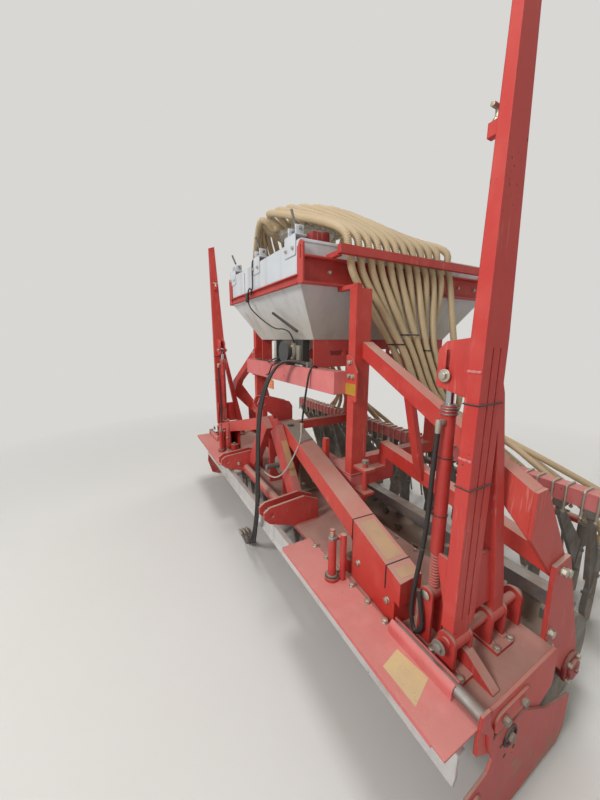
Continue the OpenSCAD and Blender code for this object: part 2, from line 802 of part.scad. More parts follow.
// The channels along the hopper's sides and across its front, the corner lugs and the hose rails
module hopper_frame() {
    lip = frame_lip;
    side = hopper_w / 2;
    low = hopper_shoulder - 5;
    high = 1868;
    front_h = 40;
    front_lip = 22;
    sheet = 5;
    front_channel = [
        [hopper_front, low], [hopper_front + front_lip, low],
        [hopper_front + front_lip, low + sheet], [hopper_front + sheet, low + sheet],
        [hopper_front + sheet, low + front_h - sheet],
        [hopper_front + front_lip, low + front_h - sheet],
        [hopper_front + front_lip, low + front_h], [hopper_front, low + front_h]
    ];
    lug_w = 42;
    lug_t = 10;
    lug_top = 1910;
    channel = [
        [side, low], [side + lip, low], [side + lip, low + 8], [side + 6, low + 8],
        [side + 6, high - 8], [side + lip, high - 8], [side + lip, high], [side, high]
    ];
    color(red) {
        both() {
            plate_y(channel, hopper_rear, hopper_len);
            block([rail_in, hopper_rear + 40, high + 8], [rail_in + 25, rail_first + 83, high + 46]);
            for (y = [hopper_rear + 40, rail_first + 58])
                block([side, y, high], [rail_in + 1, y + 25, high + 22]);
            block([side, post_front - 30, low - 20], [post_out, post_front, low]);
            difference() {
                union() {
                    block([side - 10, hopper_front, low], [side + lug_w, hopper_front + lug_t, lug_top]);
                    rod_y(side + lug_w / 2, hopper_front, hopper_front + lug_t, lug_top, lug_w);
                }
                block([side + lug_w / 2 - 5, hopper_front - 1, lug_top - 55],
                    [side + lug_w / 2 + 5, hopper_front + lug_t + 1, lug_top]);
            }
        }
        plate_x(front_channel, -side, 2 * side);
    }
}

head_z = 2150;
head_r = 165;

// The riser pipe through the hopper and the round head that splits the seed to the hoses
module distributor() {
    color(beige) {
        rod_z(0, head_y, hopper_floor - 60, head_z - 60, riser_d);
        rod_z(0, head_y, head_z - 61, head_z - 30, 240);
        rod_z(0, head_y, head_z - 31, head_z + 31, 2 * head_r);
        rod_z(0, head_y, head_z + 30, head_z + 50, 220);
    }
}

// The metering housing with its fan and its white cover, on the upper beam
module metering_unit() {
    front = beam_rear + 48;
    color(dark) {
        block([-250, beam_rear + 5, beam_top], [20, front, hopper_floor - 2]);
        rod_y(-120, front - 1, front + 60, beam_top + 80, 130);
    }
    color(pale) block([19, beam_rear + 5, beam_top], [55, front + 40, hopper_floor - 2]);
}

function coulter_x(i) = (i + 0.5) * coulter_pitch;
boot_z = 470;
function coulter_y(i) = i % 2 == 0 ? -560 : -740;

// Route of one seed hose on the near side, from the head over the rail to its coulter
function hose_route(i) =
    let (
        a = 10 + i * 14.4,
        last = i == hoses_a_side - 1 ? 1 : 0,
        side = i % 2,
        k = hoses_a_side - 1 - i,
        out = coulter_x(k),
        row = coulter_y(k),
        away = [-sin(a), cos(a), 0],
        head = [0, head_y, head_z]
    ) [
        head + (head_r + run_gap) * away,
        head + (head_r + 20) * away,
        head + (head_r + 45) * away,
        head + (head_r + 115) * away + [3 * i - 35, -4 * i, 38 - i],
        [50 - hose_x, rail_y(i) + 38, 2015],
        [-hose_x, rail_y(i), 1900],
        [-hose_x, rail_y(i) - 45, 1780],
        [-575 - 37 * side, 215 - 31 * i - 120 * last, 1450],
        [-575 - 40 * side, -18 - 25.5 * i - 40 * last, 1140],
        [-560 - 40 * side - (out - 560) * 0.25, -405 - 22 * (i % 3), 960],
        [-560 - (out - 560) * 0.85, row + 20, 660],
        [-out, row, boot_z + 70],
        [-out, row, boot_z + 35],
        [-out, row, boot_z + run_gap]
    ];

// The seed hoses on one side, from the head to the coulters
module seed_hoses() {
    color(beige) for (i = [0 : hoses_a_side - 1]) tube(curve(hose_route(i), 2), hose_d, 8);
}
module seed_hoses_left() {
    seed_hoses();
}
module seed_hoses_right() {
    mirror([1, 0, 0]) seed_hoses();
}

// The arms that run back from the tower to the coulter bar, the legs under the hopper, and the
// curved links that stand on the lid's rear and hold the lower beam
module coulter_frame() {
    link_w = 30;
    beam = low_beam_bottom - 5;
    link = [
        [post_front + 25, beam + 225], [post_front, beam + 225], [post_front, beam],
        [post_front - 45, beam - 85], [post_front - 125, beam - 155],
        [flange_rear_y + 8, trough_top], [flange_rear_y + 85, trough_top],
        [post_front - 70, beam - 165], [post_front + 10, beam - 90], [post_front + 25, beam - 10]
    ];
    color(red) both() {
        block([long_arm_x - long_arm_w / 2, coulter_bar_y + coulter_bar_d / 2, low_beam_bottom],
            [long_arm_x + long_arm_w / 2, post_rear, low_beam_bottom + 70]);
        block([long_arm_x - long_arm_w / 2, rear_leg_y - rear_leg_d / 2, low_beam_bottom + 69],
            [long_arm_x + long_arm_w / 2, rear_leg_y + rear_leg_d / 2, beam_top - 50]);
        plate_x(link, long_arm_x - link_w / 2, link_w);
    }
}

// The coulters, in two rows by turns: each an arm, a shoe and the boot that takes a hose
module coulters() {
    arm_w = 16;
    under = coulter_bar_top - coulter_bar_d;
    color(steel) both() for (i = [0 : hoses_a_side - 1]) {
        y = coulter_y(i);
        translate([coulter_x(i), 0, 0]) {
            block([-22, coulter_bar_y - 40, under - 40], [22, coulter_bar_y + 40, under]);
            plate_x([
                [coulter_bar_y - 30, under - 39], [coulter_bar_y + 20, under - 39],
                [coulter_bar_y + 10, under - 90], [y + 50, 210], [y - 10, 240],
                [y - 10, 330], [coulter_bar_y - 40, under - 70]
            ], -arm_w / 2, arm_w);
            plate_x([
                [y - 20, 340], [y + 20, 340], [y + 60, 210], [y + 70, 110], [y + 30, 20],
                [y - 25, 20], [y - 30, 120]
            ], -13, 26);
            rod_z(0, y, 330, boot_z, 50);
        }
    }
}

// The harrow of spring tines behind the coulters, on its own cross tube
module tine_bar() {
    color(red) {
        rod_x(-coulter_bar_out, coulter_bar_out, tine_bar_y, tine_bar_z, tine_bar_d);
        both() plate_x([
            [coulter_bar_y - coulter_bar_d / 2, coulter_bar_top - 10],
            [coulter_bar_y - coulter_bar_d / 2, coulter_bar_top - 70],
            [tine_bar_y + 60, tine_bar_z + 60], [tine_bar_y + 5, tine_bar_z - 10],
            [tine_bar_y - 10, tine_bar_z + 20], [tine_bar_y + 50, tine_bar_z + 150]
        ], 5 * coulter_pitch - 10, 20);
    }
}

module follow_tines() {
    tine_top = [tine_bar_y, tine_bar_z];
    tine_tip = [-926.2, 12];
    way = (tine_tip - tine_top) / norm(tine_tip - tine_top);
    start = tine_top + (tine_bar_d / 2 + weld_gap) * way;
    color(steel) both() for (i = [0 : hoses_a_side - 1])
        translate([coulter_x(i), 0, 0]) bar_yz(start, tine_tip, 0, 12, 12);
}

// The lugs on the lid that carry the markers and their cylinders, the long pivot tube with its
// rear bracket, and the wedge that stiffens the lid's end
module marker_brackets() {
    lug_t = 12;
    lug_y = marker_eye_w / 2 + 1 + lug_t / 2;
    top = trough_top;
    pivot_rear = flange_rear_y + 8;
    foot_lug_y = 30;
    wedge_in = marker_x + 32;
    wedge = [
        [wedge_in - 40, top + 11], [wedge_in - 40, marker_z - 36], [wedge_in, marker_z - 36],
        [marker_x + 120, top + 4], [marker_x + 120, top], [wedge_in, top]
    ];
    color(red) both() {
        for (y = [marker_y_front, marker_y_rear]) {
            block([marker_x - 60, y - 48, top], [marker_x + 60, y + 48, top + 12]);
            for (s = [-1, 1]) translate([0, y + s * lug_y, 0]) {
                rod_y(marker_x, -lug_t / 2, lug_t / 2, marker_z, 60);
                block([marker_x - 30, -lug_t / 2, top + 11], [marker_x + 30, lug_t / 2, marker_z]);
            }
        }
        rod_y(marker_x, pivot_rear - 12, marker_y_front + lug_y + 12, marker_z, marker_pin_d);
        rod_y(marker_x, pivot_rear, pivot_rear + 14, marker_z, 64);
        block([marker_x - 32, pivot_rear, top], [marker_x + 32, pivot_rear + 14, marker_z]);
        plate_y(wedge, marker_y_front - 46, 13);
        plate_y(wedge, marker_y_front - 34, 22);
        block([cyl_foot[0] - 30, cyl_foot[1] - 45, top], [cyl_foot[0] + 34, cyl_foot[1] + 45, top + 12]);
        for (s = [-1, 1]) translate([0, cyl_foot[1] + s * foot_lug_y, 0]) {
            rod_y(cyl_foot[0], -5, 5, cyl_foot[2], 50);
            block([cyl_foot[0] - 25, -5, top + 11], [cyl_foot[0] + 25, 5, cyl_foot[2]]);
        }
        rod_y(cyl_foot[0], cyl_foot[1] - foot_lug_y - 8, cyl_foot[1] + foot_lug_y + 8, cyl_foot[2],
            foot_pin_d);
    }
}

// One marker arm on the +X side: a tube that tapers to its tip on its inner and rear faces, a
// leaning rear leg with a web low down, and the slotted plates at the cylinder's eye
module marker() {
    join_z = marker_z + 760;
    taper_z = 1500;
    tip_w = 22;
    tip_d = 52;
    front = marker_y_front + marker_d / 2 - 5;
    rear = front - marker_d;
    outer = marker_x + marker_w / 2;
    inner = marker_x - marker_w / 2;
    plate_in = cyl_eye[0] - 32;
    slot_w = 11;
    groove = 3;
    low_z = marker_z + 44;
    leg_rear = marker_y_rear - marker_eye_w / 2 + 5;
    leg_front = marker_y_rear + marker_eye_w / 2 - 5;
    function pin_head_y(s) = cyl_eye[1] + s * (eye_plate_gap / 2 + eye_plate_t + 4.5);
    color(red) difference() {
        union() {
            for (y = [marker_y_front, marker_y_rear])
                rod_y(marker_x, y - marker_eye_w / 2, y + marker_eye_w / 2, marker_z, 58);
            block([inner, marker_y_front - marker_eye_w / 2, marker_z],
                [outer, marker_y_front + marker_eye_w / 2, marker_z + 45]);
            intersection() {
                plate_x([
                    [rear, low_z], [front, low_z], [front, marker_top - 18],
                    [front - tip_d, marker_top], [rear, taper_z]
                ], inner, marker_w);
                plate_y([
                    [outer, low_z], [outer, marker_top], [outer - tip_w, marker_top],
                    [inner, taper_z], [inner, low_z]
                ], rear, marker_d);
            }
            plate_x([
                [leg_rear, marker_z], [leg_front, marker_z], [leg_front, marker_z + 45],
                [rear + 1, join_z - 90], [rear + 1, join_z + 30], [rear - 12, join_z],
                [leg_rear, marker_z + 60]
            ], inner, marker_w);
            plate_x([
                [leg_front - 20, marker_z + 60], [rear + 1, marker_z + 60],
                [rear + 1, marker_z + 255], [leg_front + 10, marker_z + 255]
            ], marker_x - 5, 10);
            plate_y([
                [inner + 1, marker_z + 95], [inner - 34, marker_z + 235], [inner - 34, marker_z + 265],
                [inner + 1, marker_z + 265]
            ], front - 14, 10);
            for (s = [-1, 1]) difference() {
                union() {
                    plate_y([
                        [plate_in, cyl_eye[2] - 34], [inner + 1, cyl_eye[2] - 60],
                        [inner + 1, cyl_eye[2] + 108], [plate_in + 24, cyl_eye[2] + 96],
                        [plate_in, cyl_eye[2] + 72]
                    ], cyl_eye[1] + s * (eye_plate_gap + eye_plate_t) / 2 - eye_plate_t / 2,
                        eye_plate_t);
                }
                block([cyl_eye[0] - slot_w / 2, marker_y_front - 90, cyl_eye[2] + 16],
                    [cyl_eye[0] + slot_w / 2, marker_y_front + 90, cyl_eye[2] + 72]);
            }
            for (s = [-1, 1])
                rod_y(cyl_eye[0], pin_head_y(s) - 5, pin_head_y(s) + 5, cyl_eye[2], 26);
            block([inner - 28, front - 44, marker_top - 395],
                [inner + 16, front - 26, marker_top - 363]);
        }
        for (y = [marker_y_front, marker_y_rear])
            rod_y(marker_x, y - marker_eye_w / 2 - 1, y + marker_eye_w / 2 + 1, marker_z,
                marker_pin_d + 2 * run_gap);
        for (y = [front - 36, front - 68])
            block([outer - groove, y - 3, marker_z + 80], [outer + 1, y + 3, taper_z - 20]);
    }
}
module marker_left() {
    mirror([1, 0, 0]) marker();
}
module marker_right() {
    marker();
}

// Route of the first hydraulic hose, and how far the next one lies from it:
// x, y, z, shift in x, shift in y
oil_route = [
    [-328, 572, 1364, 0, 18],
    [-306, 572, 1364, 0, 18],
    [-285, 579, 1367, 0, 19],
    [-263, 597, 1373, -4, 20],
    [-240, 620, 1378, -8, 19],
    [-214, 648, 1380, -12, 16],
    [-189, 677, 1374, -13, 12],
    [-165, 708, 1354, -15, 9],
    [-144, 738, 1316, -17, 5],
    [-128, 766, 1264, -18, 2],
    [-117, 789, 1200, -18, 0],
    [-109, 806, 1128, -18, 0],
    [-107, 818, 1050, -18, 0],
    [-107, 826, 970, -18, 0],
    [-109, 832, 890, -18, 0],
    [-111, 836, 810, -18, 0],
    [-112, 839, 730, -18, 0],
    [-111, 841, 650, -18, 0],
    [-107, 842, 570, -18, 0],
    [-99, 843, 490, -18, 0],
    [-86, 844, 412, -18, 0],
    [-67, 845, 338, -18, 0],
    [-42, 845, 270, -18, -1],
    [-12, 845, 208, -17, -4],
    [24, 844, 154, -15, -8],
    [64, 842, 108, -12, -12],
    [108, 838, 70, -8, -16],
    [154, 832, 40, -5, -20],
    [200, 825, 20, -2, -24],
    [240, 819, 12, -1, -26],
    [270, 817, 12, 0, -27],
    [300, 817, 12, 0, -27]
];
function oil_hose(i) = [for (p = oil_route) [p[0] + i * p[3], p[1] + i * p[4], p[2]]];

// The block on the upper beam that the hydraulic hoses leave
module hose_block() {
    first = oil_hose(0)[0];
    last = oil_hose(2)[0];
    color(steel) {
        block([first[0] - 29, first[1] - 14, beam_top], [first[0] - 9, last[1] + 14, beam_top + 30]);
        for (i = [0 : 2])
            rod_x(first[0] - 10, first[0], oil_hose(i)[0][1], first[2], oil_hose_d + 3);
    }
}

// One of the three hydraulic hoses, which hang in front of the mast down to the ground
module hydraulic_hose(i) {
    color(dark) tube(oil_hose(i - 1), oil_hose_d, 8);
}

// The coupling at a hydraulic hose's end
module hose_plug(i) {
    end = oil_hose(i - 1)[len(oil_route) - 1];
    color(steel) {
        rod_x(end[0], end[0] + 52, end[1], end[2], 24);
        rod_x(end[0] + 51, end[0] + 78, end[1], end[2], 18);
    }
}

// Places a piece of a marker cylinder, drawn upright from the foot, along the cylinder
module along_cylinder() {
    translate(cyl_foot) rotate([0, cyl_lean, 0]) children();
}

// The barrel of one marker cylinder, with the spring around its lower end
module cylinder_barrel() {
    spring_top = 150;
    spring_turns = 12;
    color(red) along_cylinder() difference() {
        union() {
            rod_y(0, -22, 22, 0, 44);
            rod_z(0, 0, 14, spring_top, barrel_d - 16);
            rod_z(0, 0, spring_top - 1, barrel_len, barrel_d);
            rod_z(0, 0, barrel_len - 30, barrel_len, barrel_d + 4);
            for (i = [0 : spring_turns - 1])
                translate([0, 0, 28 + i * (spring_top - 34) / (spring_turns - 1)])
                    rotate_extrude() translate([barrel_d / 2 - 7, 0]) circle(d = 7, $fn = 16);
        }
        rod_y(0, -30, 30, 0, foot_pin_d + 2 * run_gap);
        rod_z(0, 0, spring_top + 20, barrel_len + 1, rod_d + 2 * run_gap);
    }
}
module cylinder_left() {
    mirror([1, 0, 0]) cylinder_barrel();
}
module cylinder_right() {
    cylinder_barrel();
}

// The rod of one marker cylinder, with its eye
module cylinder_rod() {
    eye_w = 22;
    color(steel) along_cylinder() {
        rod_z(0, 0, 230, cyl_len - 10, rod_d);
        rod_y(0, -eye_w / 2, eye_w / 2, cyl_len, 46);
    }
}
module rod_left() {
    mirror([1, 0, 0]) cylinder_rod();
}
module rod_right() {
    cylinder_rod();
}

// The lid over the hopper's rear part, hinged along its rear edge
module hopper_lid() {
    gap = 6;
    front = deck_rear - gap;
    crown = 60;
    sheet = 4;
    low = hopper_top + run_gap;
    function arch(in) = let (side = hopper_w / 2 - in, flat = 210 - in / 2) [
        [-side, low - (in > 0 ? 1 : 0)], [-side, low + 14 - in], [-side + 60, low + crown * 0.65 - in],
        [-flat, low + crown - in], [flat, low + crown - in], [side - 60, low + crown * 0.65 - in],
        [side, low + 14 - in], [side, low - (in > 0 ? 1 : 0)]
    ];
    color(steel) {
        difference() {
            plate_y(arch(0), hopper_rear, front - hopper_rear);
            plate_y(arch(sheet), hopper_rear + sheet, front - hopper_rear - 2 * sheet);
        }
        both() difference() {
            union() {
                rod_x(lid_hinge_x - 18, lid_hinge_x + 18, lid_axis_y, lid_axis_z, 22);
                block([lid_hinge_x - 18, lid_axis_y, lid_axis_z + 2],
                    [lid_hinge_x + 18, hopper_rear + 1, lid_axis_z + 8]);
            }
            rod_x(lid_hinge_x - 19, lid_hinge_x + 19, lid_axis_y, lid_axis_z, 10 + 2 * run_gap);
        }
    }
}

trough();
end_plates();
side_deflectors();
front_guards();
deflector_tubes();
levelling_bar();
bar_adjusters();
headstock();
main_arms();
hitch_cheeks();
hitch_struts();
hitch_tube();
gearbox();
posts();
cross_beams();
truss_tops();
truss_lowers();
roller_frame();
scrapers();
hopper_cradle();
hopper();
hopper_frame();
distributor();
metering_unit();
seed_hoses_left();
seed_hoses_right();
coulter_frame();
coulters();
tine_bar();
follow_tines();
marker_brackets();
hose_block();
hydraulic_hose(1);  // hydraulic_hose_1
hydraulic_hose(2);  // hydraulic_hose_2
hydraulic_hose(3);  // hydraulic_hose_3
hose_plug(1);  // hose_plug_1
hose_plug(2);  // hose_plug_2
hose_plug(3);  // hose_plug_3
packer_roller();
pto_shaft();
marker_left();
marker_right();
cylinder_left();
cylinder_right();
rod_left();
rod_right();
hopper_lid();
rotor(1);  // rotor_1
rotor(2);  // rotor_2
rotor(3);  // rotor_3
rotor(4);  // rotor_4
rotor(5);  // rotor_5
rotor(6);  // rotor_6
rotor(7);  // rotor_7
rotor(8);  // rotor_8
rotor(9);  // rotor_9
rotor(10);  // rotor_10
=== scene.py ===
# Looks of the folded seed drill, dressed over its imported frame. Metres throughout.
import math

import bmesh
import bpy
from mathutils import Matrix, Vector


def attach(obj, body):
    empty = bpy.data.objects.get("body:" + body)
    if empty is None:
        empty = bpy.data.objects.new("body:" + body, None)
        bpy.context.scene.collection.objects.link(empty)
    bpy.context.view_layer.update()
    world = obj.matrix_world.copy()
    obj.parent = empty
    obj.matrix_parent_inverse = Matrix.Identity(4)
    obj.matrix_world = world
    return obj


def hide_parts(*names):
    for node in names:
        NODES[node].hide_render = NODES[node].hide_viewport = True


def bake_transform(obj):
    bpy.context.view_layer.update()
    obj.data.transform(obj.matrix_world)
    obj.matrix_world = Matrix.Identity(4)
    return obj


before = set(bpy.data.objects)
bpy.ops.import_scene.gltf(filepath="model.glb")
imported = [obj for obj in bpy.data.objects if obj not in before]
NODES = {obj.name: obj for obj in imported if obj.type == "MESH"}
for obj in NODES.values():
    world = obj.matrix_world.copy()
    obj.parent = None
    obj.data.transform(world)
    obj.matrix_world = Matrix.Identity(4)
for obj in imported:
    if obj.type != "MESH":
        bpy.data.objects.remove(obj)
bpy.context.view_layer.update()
WAYS = (-1, 1)
SIDES = ((-1, "left"), (1, "right"))
ROTORS = 10


# Camera, light and floor

def add_camera():
    """A wide phone lens, held at 1.5 m beside the machine's left front corner."""
    data = bpy.data.cameras.new("phone_lens")
    data.lens = 13.95
    data.sensor_width = 36.0
    data.sensor_fit = "AUTO"
    data.clip_start = 0.02
    camera = bpy.data.objects.new("phone_camera", data)
    bpy.context.collection.objects.link(camera)
    camera.location = (-1.81, 1.475, 1.5)
    look = Vector((0.859, -0.476, -0.191))
    camera.rotation_euler = look.to_track_quat("-Z", "Y").to_euler()
    bpy.context.scene.camera = camera


def linear(red, green, blue):
    """A colour written as it looks on a screen, 0 to 255, in the renderer's own scale."""
    def channel(value):
        value /= 255.0
        return value / 12.92 if value <= 0.04045 else ((value + 0.055) / 1.055) ** 2.4
    return (channel(red), channel(green), channel(blue), 1.0)


def add_light(name, kind, place, target, size, power):
    data = bpy.data.lights.new(name, kind)
    data.energy = power
    if kind == "AREA":
        data.shape = "DISK"
        data.size = size
    else:
        data.shadow_soft_size = size / 2
    lamp = bpy.data.objects.new(name, data)
    bpy.context.collection.objects.link(lamp)
    lamp.location = place
    lamp.rotation_euler = (Vector(target) - Vector(place)).to_track_quat("-Z", "Y").to_euler()


def add_studio():
    """A pale room that is seen brighter than it shines, a window, a roof light and a back light."""
    scene = bpy.context.scene
    scene.view_settings.view_transform = "Standard"
    world = bpy.data.worlds.new("pale_room")
    scene.world = world
    world.use_nodes = True
    tree = world.node_tree
    sky = tree.nodes["Background"]
    sky.inputs["Color"].default_value = linear(236, 240, 246)
    sky.inputs["Strength"].default_value = 0.36
    seen = tree.nodes.new("ShaderNodeBackground")
    seen.inputs["Color"].default_value = linear(226, 226, 224)
    seen.inputs["Strength"].default_value = 1.0
    ray = tree.nodes.new("ShaderNodeLightPath")
    mix = tree.nodes.new("ShaderNodeMixShader")
    tree.links.new(ray.outputs["Is Camera Ray"], mix.inputs["Fac"])
    tree.links.new(sky.outputs[0], mix.inputs[1])
    tree.links.new(seen.outputs[0], mix.inputs[2])
    tree.links.new(mix.outputs[0], tree.nodes["World Output"].inputs["Surface"])
    add_light("window_light", "AREA", (-1.9, 5.6, 4.4), (-0.2, 0.1, 1.0), 1.8, 235)
    add_light("roof_light", "POINT", (0.0, 0.5, 10.5), (0.0, 0.1, 0.9), 2.5, 1200)
    add_light("back_light", "AREA", (2.6, -4.4, 3.2), (0.0, -0.2, 1.0), 3.0, 70)


# Effects as node groups

def start_group(name, outputs, **inputs):
    """A node group with named values going in, and its masks, normals or heights coming out."""
    tree = bpy.data.node_groups.new(name, "ShaderNodeTree")
    for label, value in inputs.items():
        made = tree.interface.new_socket(label.capitalize(), in_out="INPUT",
                                         socket_type="NodeSocketFloat")
        made.default_value = value
    for label in outputs:
        kind = "NodeSocketVector" if label == "Normal" else "NodeSocketFloat"
        tree.interface.new_socket(label, in_out="OUTPUT", socket_type=kind)
    return tree, tree.nodes.new("NodeGroupInput").outputs, tree.nodes.new("NodeGroupOutput").inputs


def feed(tree, value, socket):
    """Gives a socket a plain number or colour, or links another socket to it."""
    if isinstance(value, (int, float, tuple)):
        socket.default_value = value
    else:
        tree.links.new(value, socket)


def math_node(tree, operation, first, second=None, clamp=False):
    node = tree.nodes.new("ShaderNodeMath")
    node.operation = operation
    node.use_clamp = clamp
    feed(tree, first, node.inputs[0])
    if second is not None:
        feed(tree, second, node.inputs[1])
    return node.outputs[0]


def times(tree, first, second, clamp=False):
    return math_node(tree, "MULTIPLY", first, second, clamp)


def plus(tree, first, second):
    return math_node(tree, "ADD", first, second)


def less(tree, first, second, clamp=False):
    return math_node(tree, "SUBTRACT", first, second, clamp)


def object_place(tree):
    return tree.nodes.new("ShaderNodeTexCoord").outputs["Object"]


def height_of(tree, vector):
    split = tree.nodes.new("ShaderNodeSeparateXYZ")
    tree.links.new(vector, split.inputs[0])
    return split.outputs["Z"]


def drawn_down(tree, squeeze):
    """The object's own space with its height squeezed, so that a pattern runs down a wall."""
    stretch = tree.nodes.new("ShaderNodeVectorMath")
    stretch.operation = "MULTIPLY"
    stretch.inputs[1].default_value = (1.0, 1.0, squeeze)
    tree.links.new(object_place(tree), stretch.inputs[0])
    return stretch.outputs["Vector"]


def noise_node(tree, scale, detail=4.0, rough=0.55, place=None):
    """Noise over the object's own space, or over the place that is given."""
    node = tree.nodes.new("ShaderNodeTexNoise")
    node.inputs["Detail"].default_value = detail
    node.inputs["Roughness"].default_value = rough
    feed(tree, scale, node.inputs["Scale"])
    tree.links.new(object_place(tree) if place is None else place, node.inputs["Vector"])
    return node.outputs["Fac"]


def ramp_node(tree, value, low, high):
    """0 at low and 1 at high, straight between them."""
    node = tree.nodes.new("ShaderNodeMapRange")
    node.clamp = True
    tree.links.new(value, node.inputs["Value"])
    feed(tree, low, node.inputs["From Min"])
    feed(tree, high, node.inputs["From Max"])
    return node.outputs["Result"]


def make_edge_wear():
    """Where a face nears an edge, broken up as rubbed paint is."""
    tree, given, out = start_group("edge_wear", ("Mask", "Normal"), radius=0.004, amount=0.5)
    bevel = tree.nodes.new("ShaderNodeBevel")
    bevel.samples = 4
    tree.links.new(given["Radius"], bevel.inputs["Radius"])
    dot = tree.nodes.new("ShaderNodeVectorMath")
    dot.operation = "DOT_PRODUCT"
    tree.links.new(bevel.outputs["Normal"], dot.inputs[0])
    tree.links.new(tree.nodes.new("ShaderNodeNewGeometry").outputs["True Normal"], dot.inputs[1])
    edge = ramp_node(tree, less(tree, 1.0, dot.outputs["Value"]), 0.02, 0.22)
    rubbed_from = less(tree, 0.72, times(tree, given["Amount"], 0.3))
    broken = ramp_node(tree, noise_node(tree, 38.0, 6.0, 0.65), rubbed_from, 0.74)
    tree.links.new(times(tree, edge, broken, True), out["Mask"])
    tree.links.new(bevel.outputs["Normal"], out["Normal"])
    return tree


def make_settled_dust():
    """Dust that lies on faces that look up, patchy."""
    tree, given, out = start_group("settled_dust", ("Mask",), amount=0.5, scale=3.0)
    normal = tree.nodes.new("ShaderNodeNewGeometry").outputs["Normal"]
    upward = ramp_node(tree, height_of(tree, normal), 0.25, 0.85)
    patch = ramp_node(tree, noise_node(tree, given["Scale"], 6.0, 0.6), 0.28, 0.66)
    film = plus(tree, times(tree, upward, 1.05), 0.08)
    film = times(tree, film, plus(tree, times(tree, patch, 0.5), 0.5))
    tree.links.new(times(tree, film, given["Amount"], True), out["Mask"])
    return tree


def make_run_streaks():
    """Streaks that ran down a wall."""
    tree, given, out = start_group("run_streaks", ("Mask",), amount=0.5, width=14.0)
    lines = noise_node(tree, given["Width"], 5.0, 0.6, drawn_down(tree, 0.09))
    lines = ramp_node(tree, lines, 0.46, 0.75)
    blot = ramp_node(tree, noise_node(tree, 2.3, 3.0), 0.35, 0.65)
    tree.links.new(times(tree, times(tree, lines, blot), given["Amount"], True), out["Mask"])
    return tree


def make_chips():
    """Small chipped spots, in flocks."""
    tree, given, out = start_group("chips", ("Mask",), amount=0.5)
    spots = noise_node(tree, 95.0, 3.0, 0.5)
    flock = noise_node(tree, 5.0, 4.0, 0.6)
    level = less(tree, 0.80, times(tree, given["Amount"], 0.14))
    mixed = plus(tree, times(tree, spots, 0.62), times(tree, flock, 0.5))
    tree.links.new(ramp_node(tree, mixed, level, plus(tree, level, 0.02)), out["Mask"])
    return tree


def make_surface_grain():
    """The height of rolled, sprayed or moulded skin."""
    tree, given, out = start_group("surface_grain", ("Height",), fine=400.0, coarse=30.0)
    fine = noise_node(tree, given["Fine"], 3.0)
    coarse = noise_node(tree, given["Coarse"], 4.0)
    tree.links.new(plus(tree, times(tree, fine, 0.35), times(tree, coarse, 0.65)), out["Height"])
    return tree


def make_scratches():
    """Fine scrapes that run down a wall, in flocks."""
    tree, given, out = start_group("scratches", ("Mask",), amount=0.5)
    lines = ramp_node(tree, noise_node(tree, 120.0, 2.0, 0.5, drawn_down(tree, 0.06)), 0.60, 0.68)
    flock = ramp_node(tree, noise_node(tree, 3.6, 5.0, 0.6), 0.50, 0.62)
    tree.links.new(times(tree, times(tree, lines, flock), given["Amount"], True), out["Mask"])
    return tree


def make_soil_splash():
    """Dried soil that was thrown up, thinner with height above the ground."""
    tree, given, out = start_group("soil_splash", ("Mask",), amount=0.5, reach=0.55)
    low = ramp_node(tree, height_of(tree, object_place(tree)), given["Reach"], 0.02)
    spots = noise_node(tree, 26.0, 8.0, 0.7)
    clumps = noise_node(tree, 4.5, 5.0, 0.6)
    mixed = plus(tree, times(tree, spots, 0.5), times(tree, clumps, 0.5))
    level = less(tree, 0.66, times(tree, low, 0.24))
    mask = ramp_node(tree, mixed, level, plus(tree, level, 0.10))
    tree.links.new(times(tree, mask, given["Amount"], True), out["Mask"])
    return tree


EDGE_WEAR = make_edge_wear()
SCRATCHES = make_scratches()
SOIL_SPLASH = make_soil_splash()
SETTLED_DUST = make_settled_dust()
RUN_STREAKS = make_run_streaks()
CHIPS = make_chips()
SURFACE_GRAIN = make_surface_grain()


# Finishes

# Where a mix node keeps its two inputs and its output, for colours and for plain numbers
MIX_COLOURS = (6, 7, 2)
MIX_NUMBERS = (2, 3, 0)


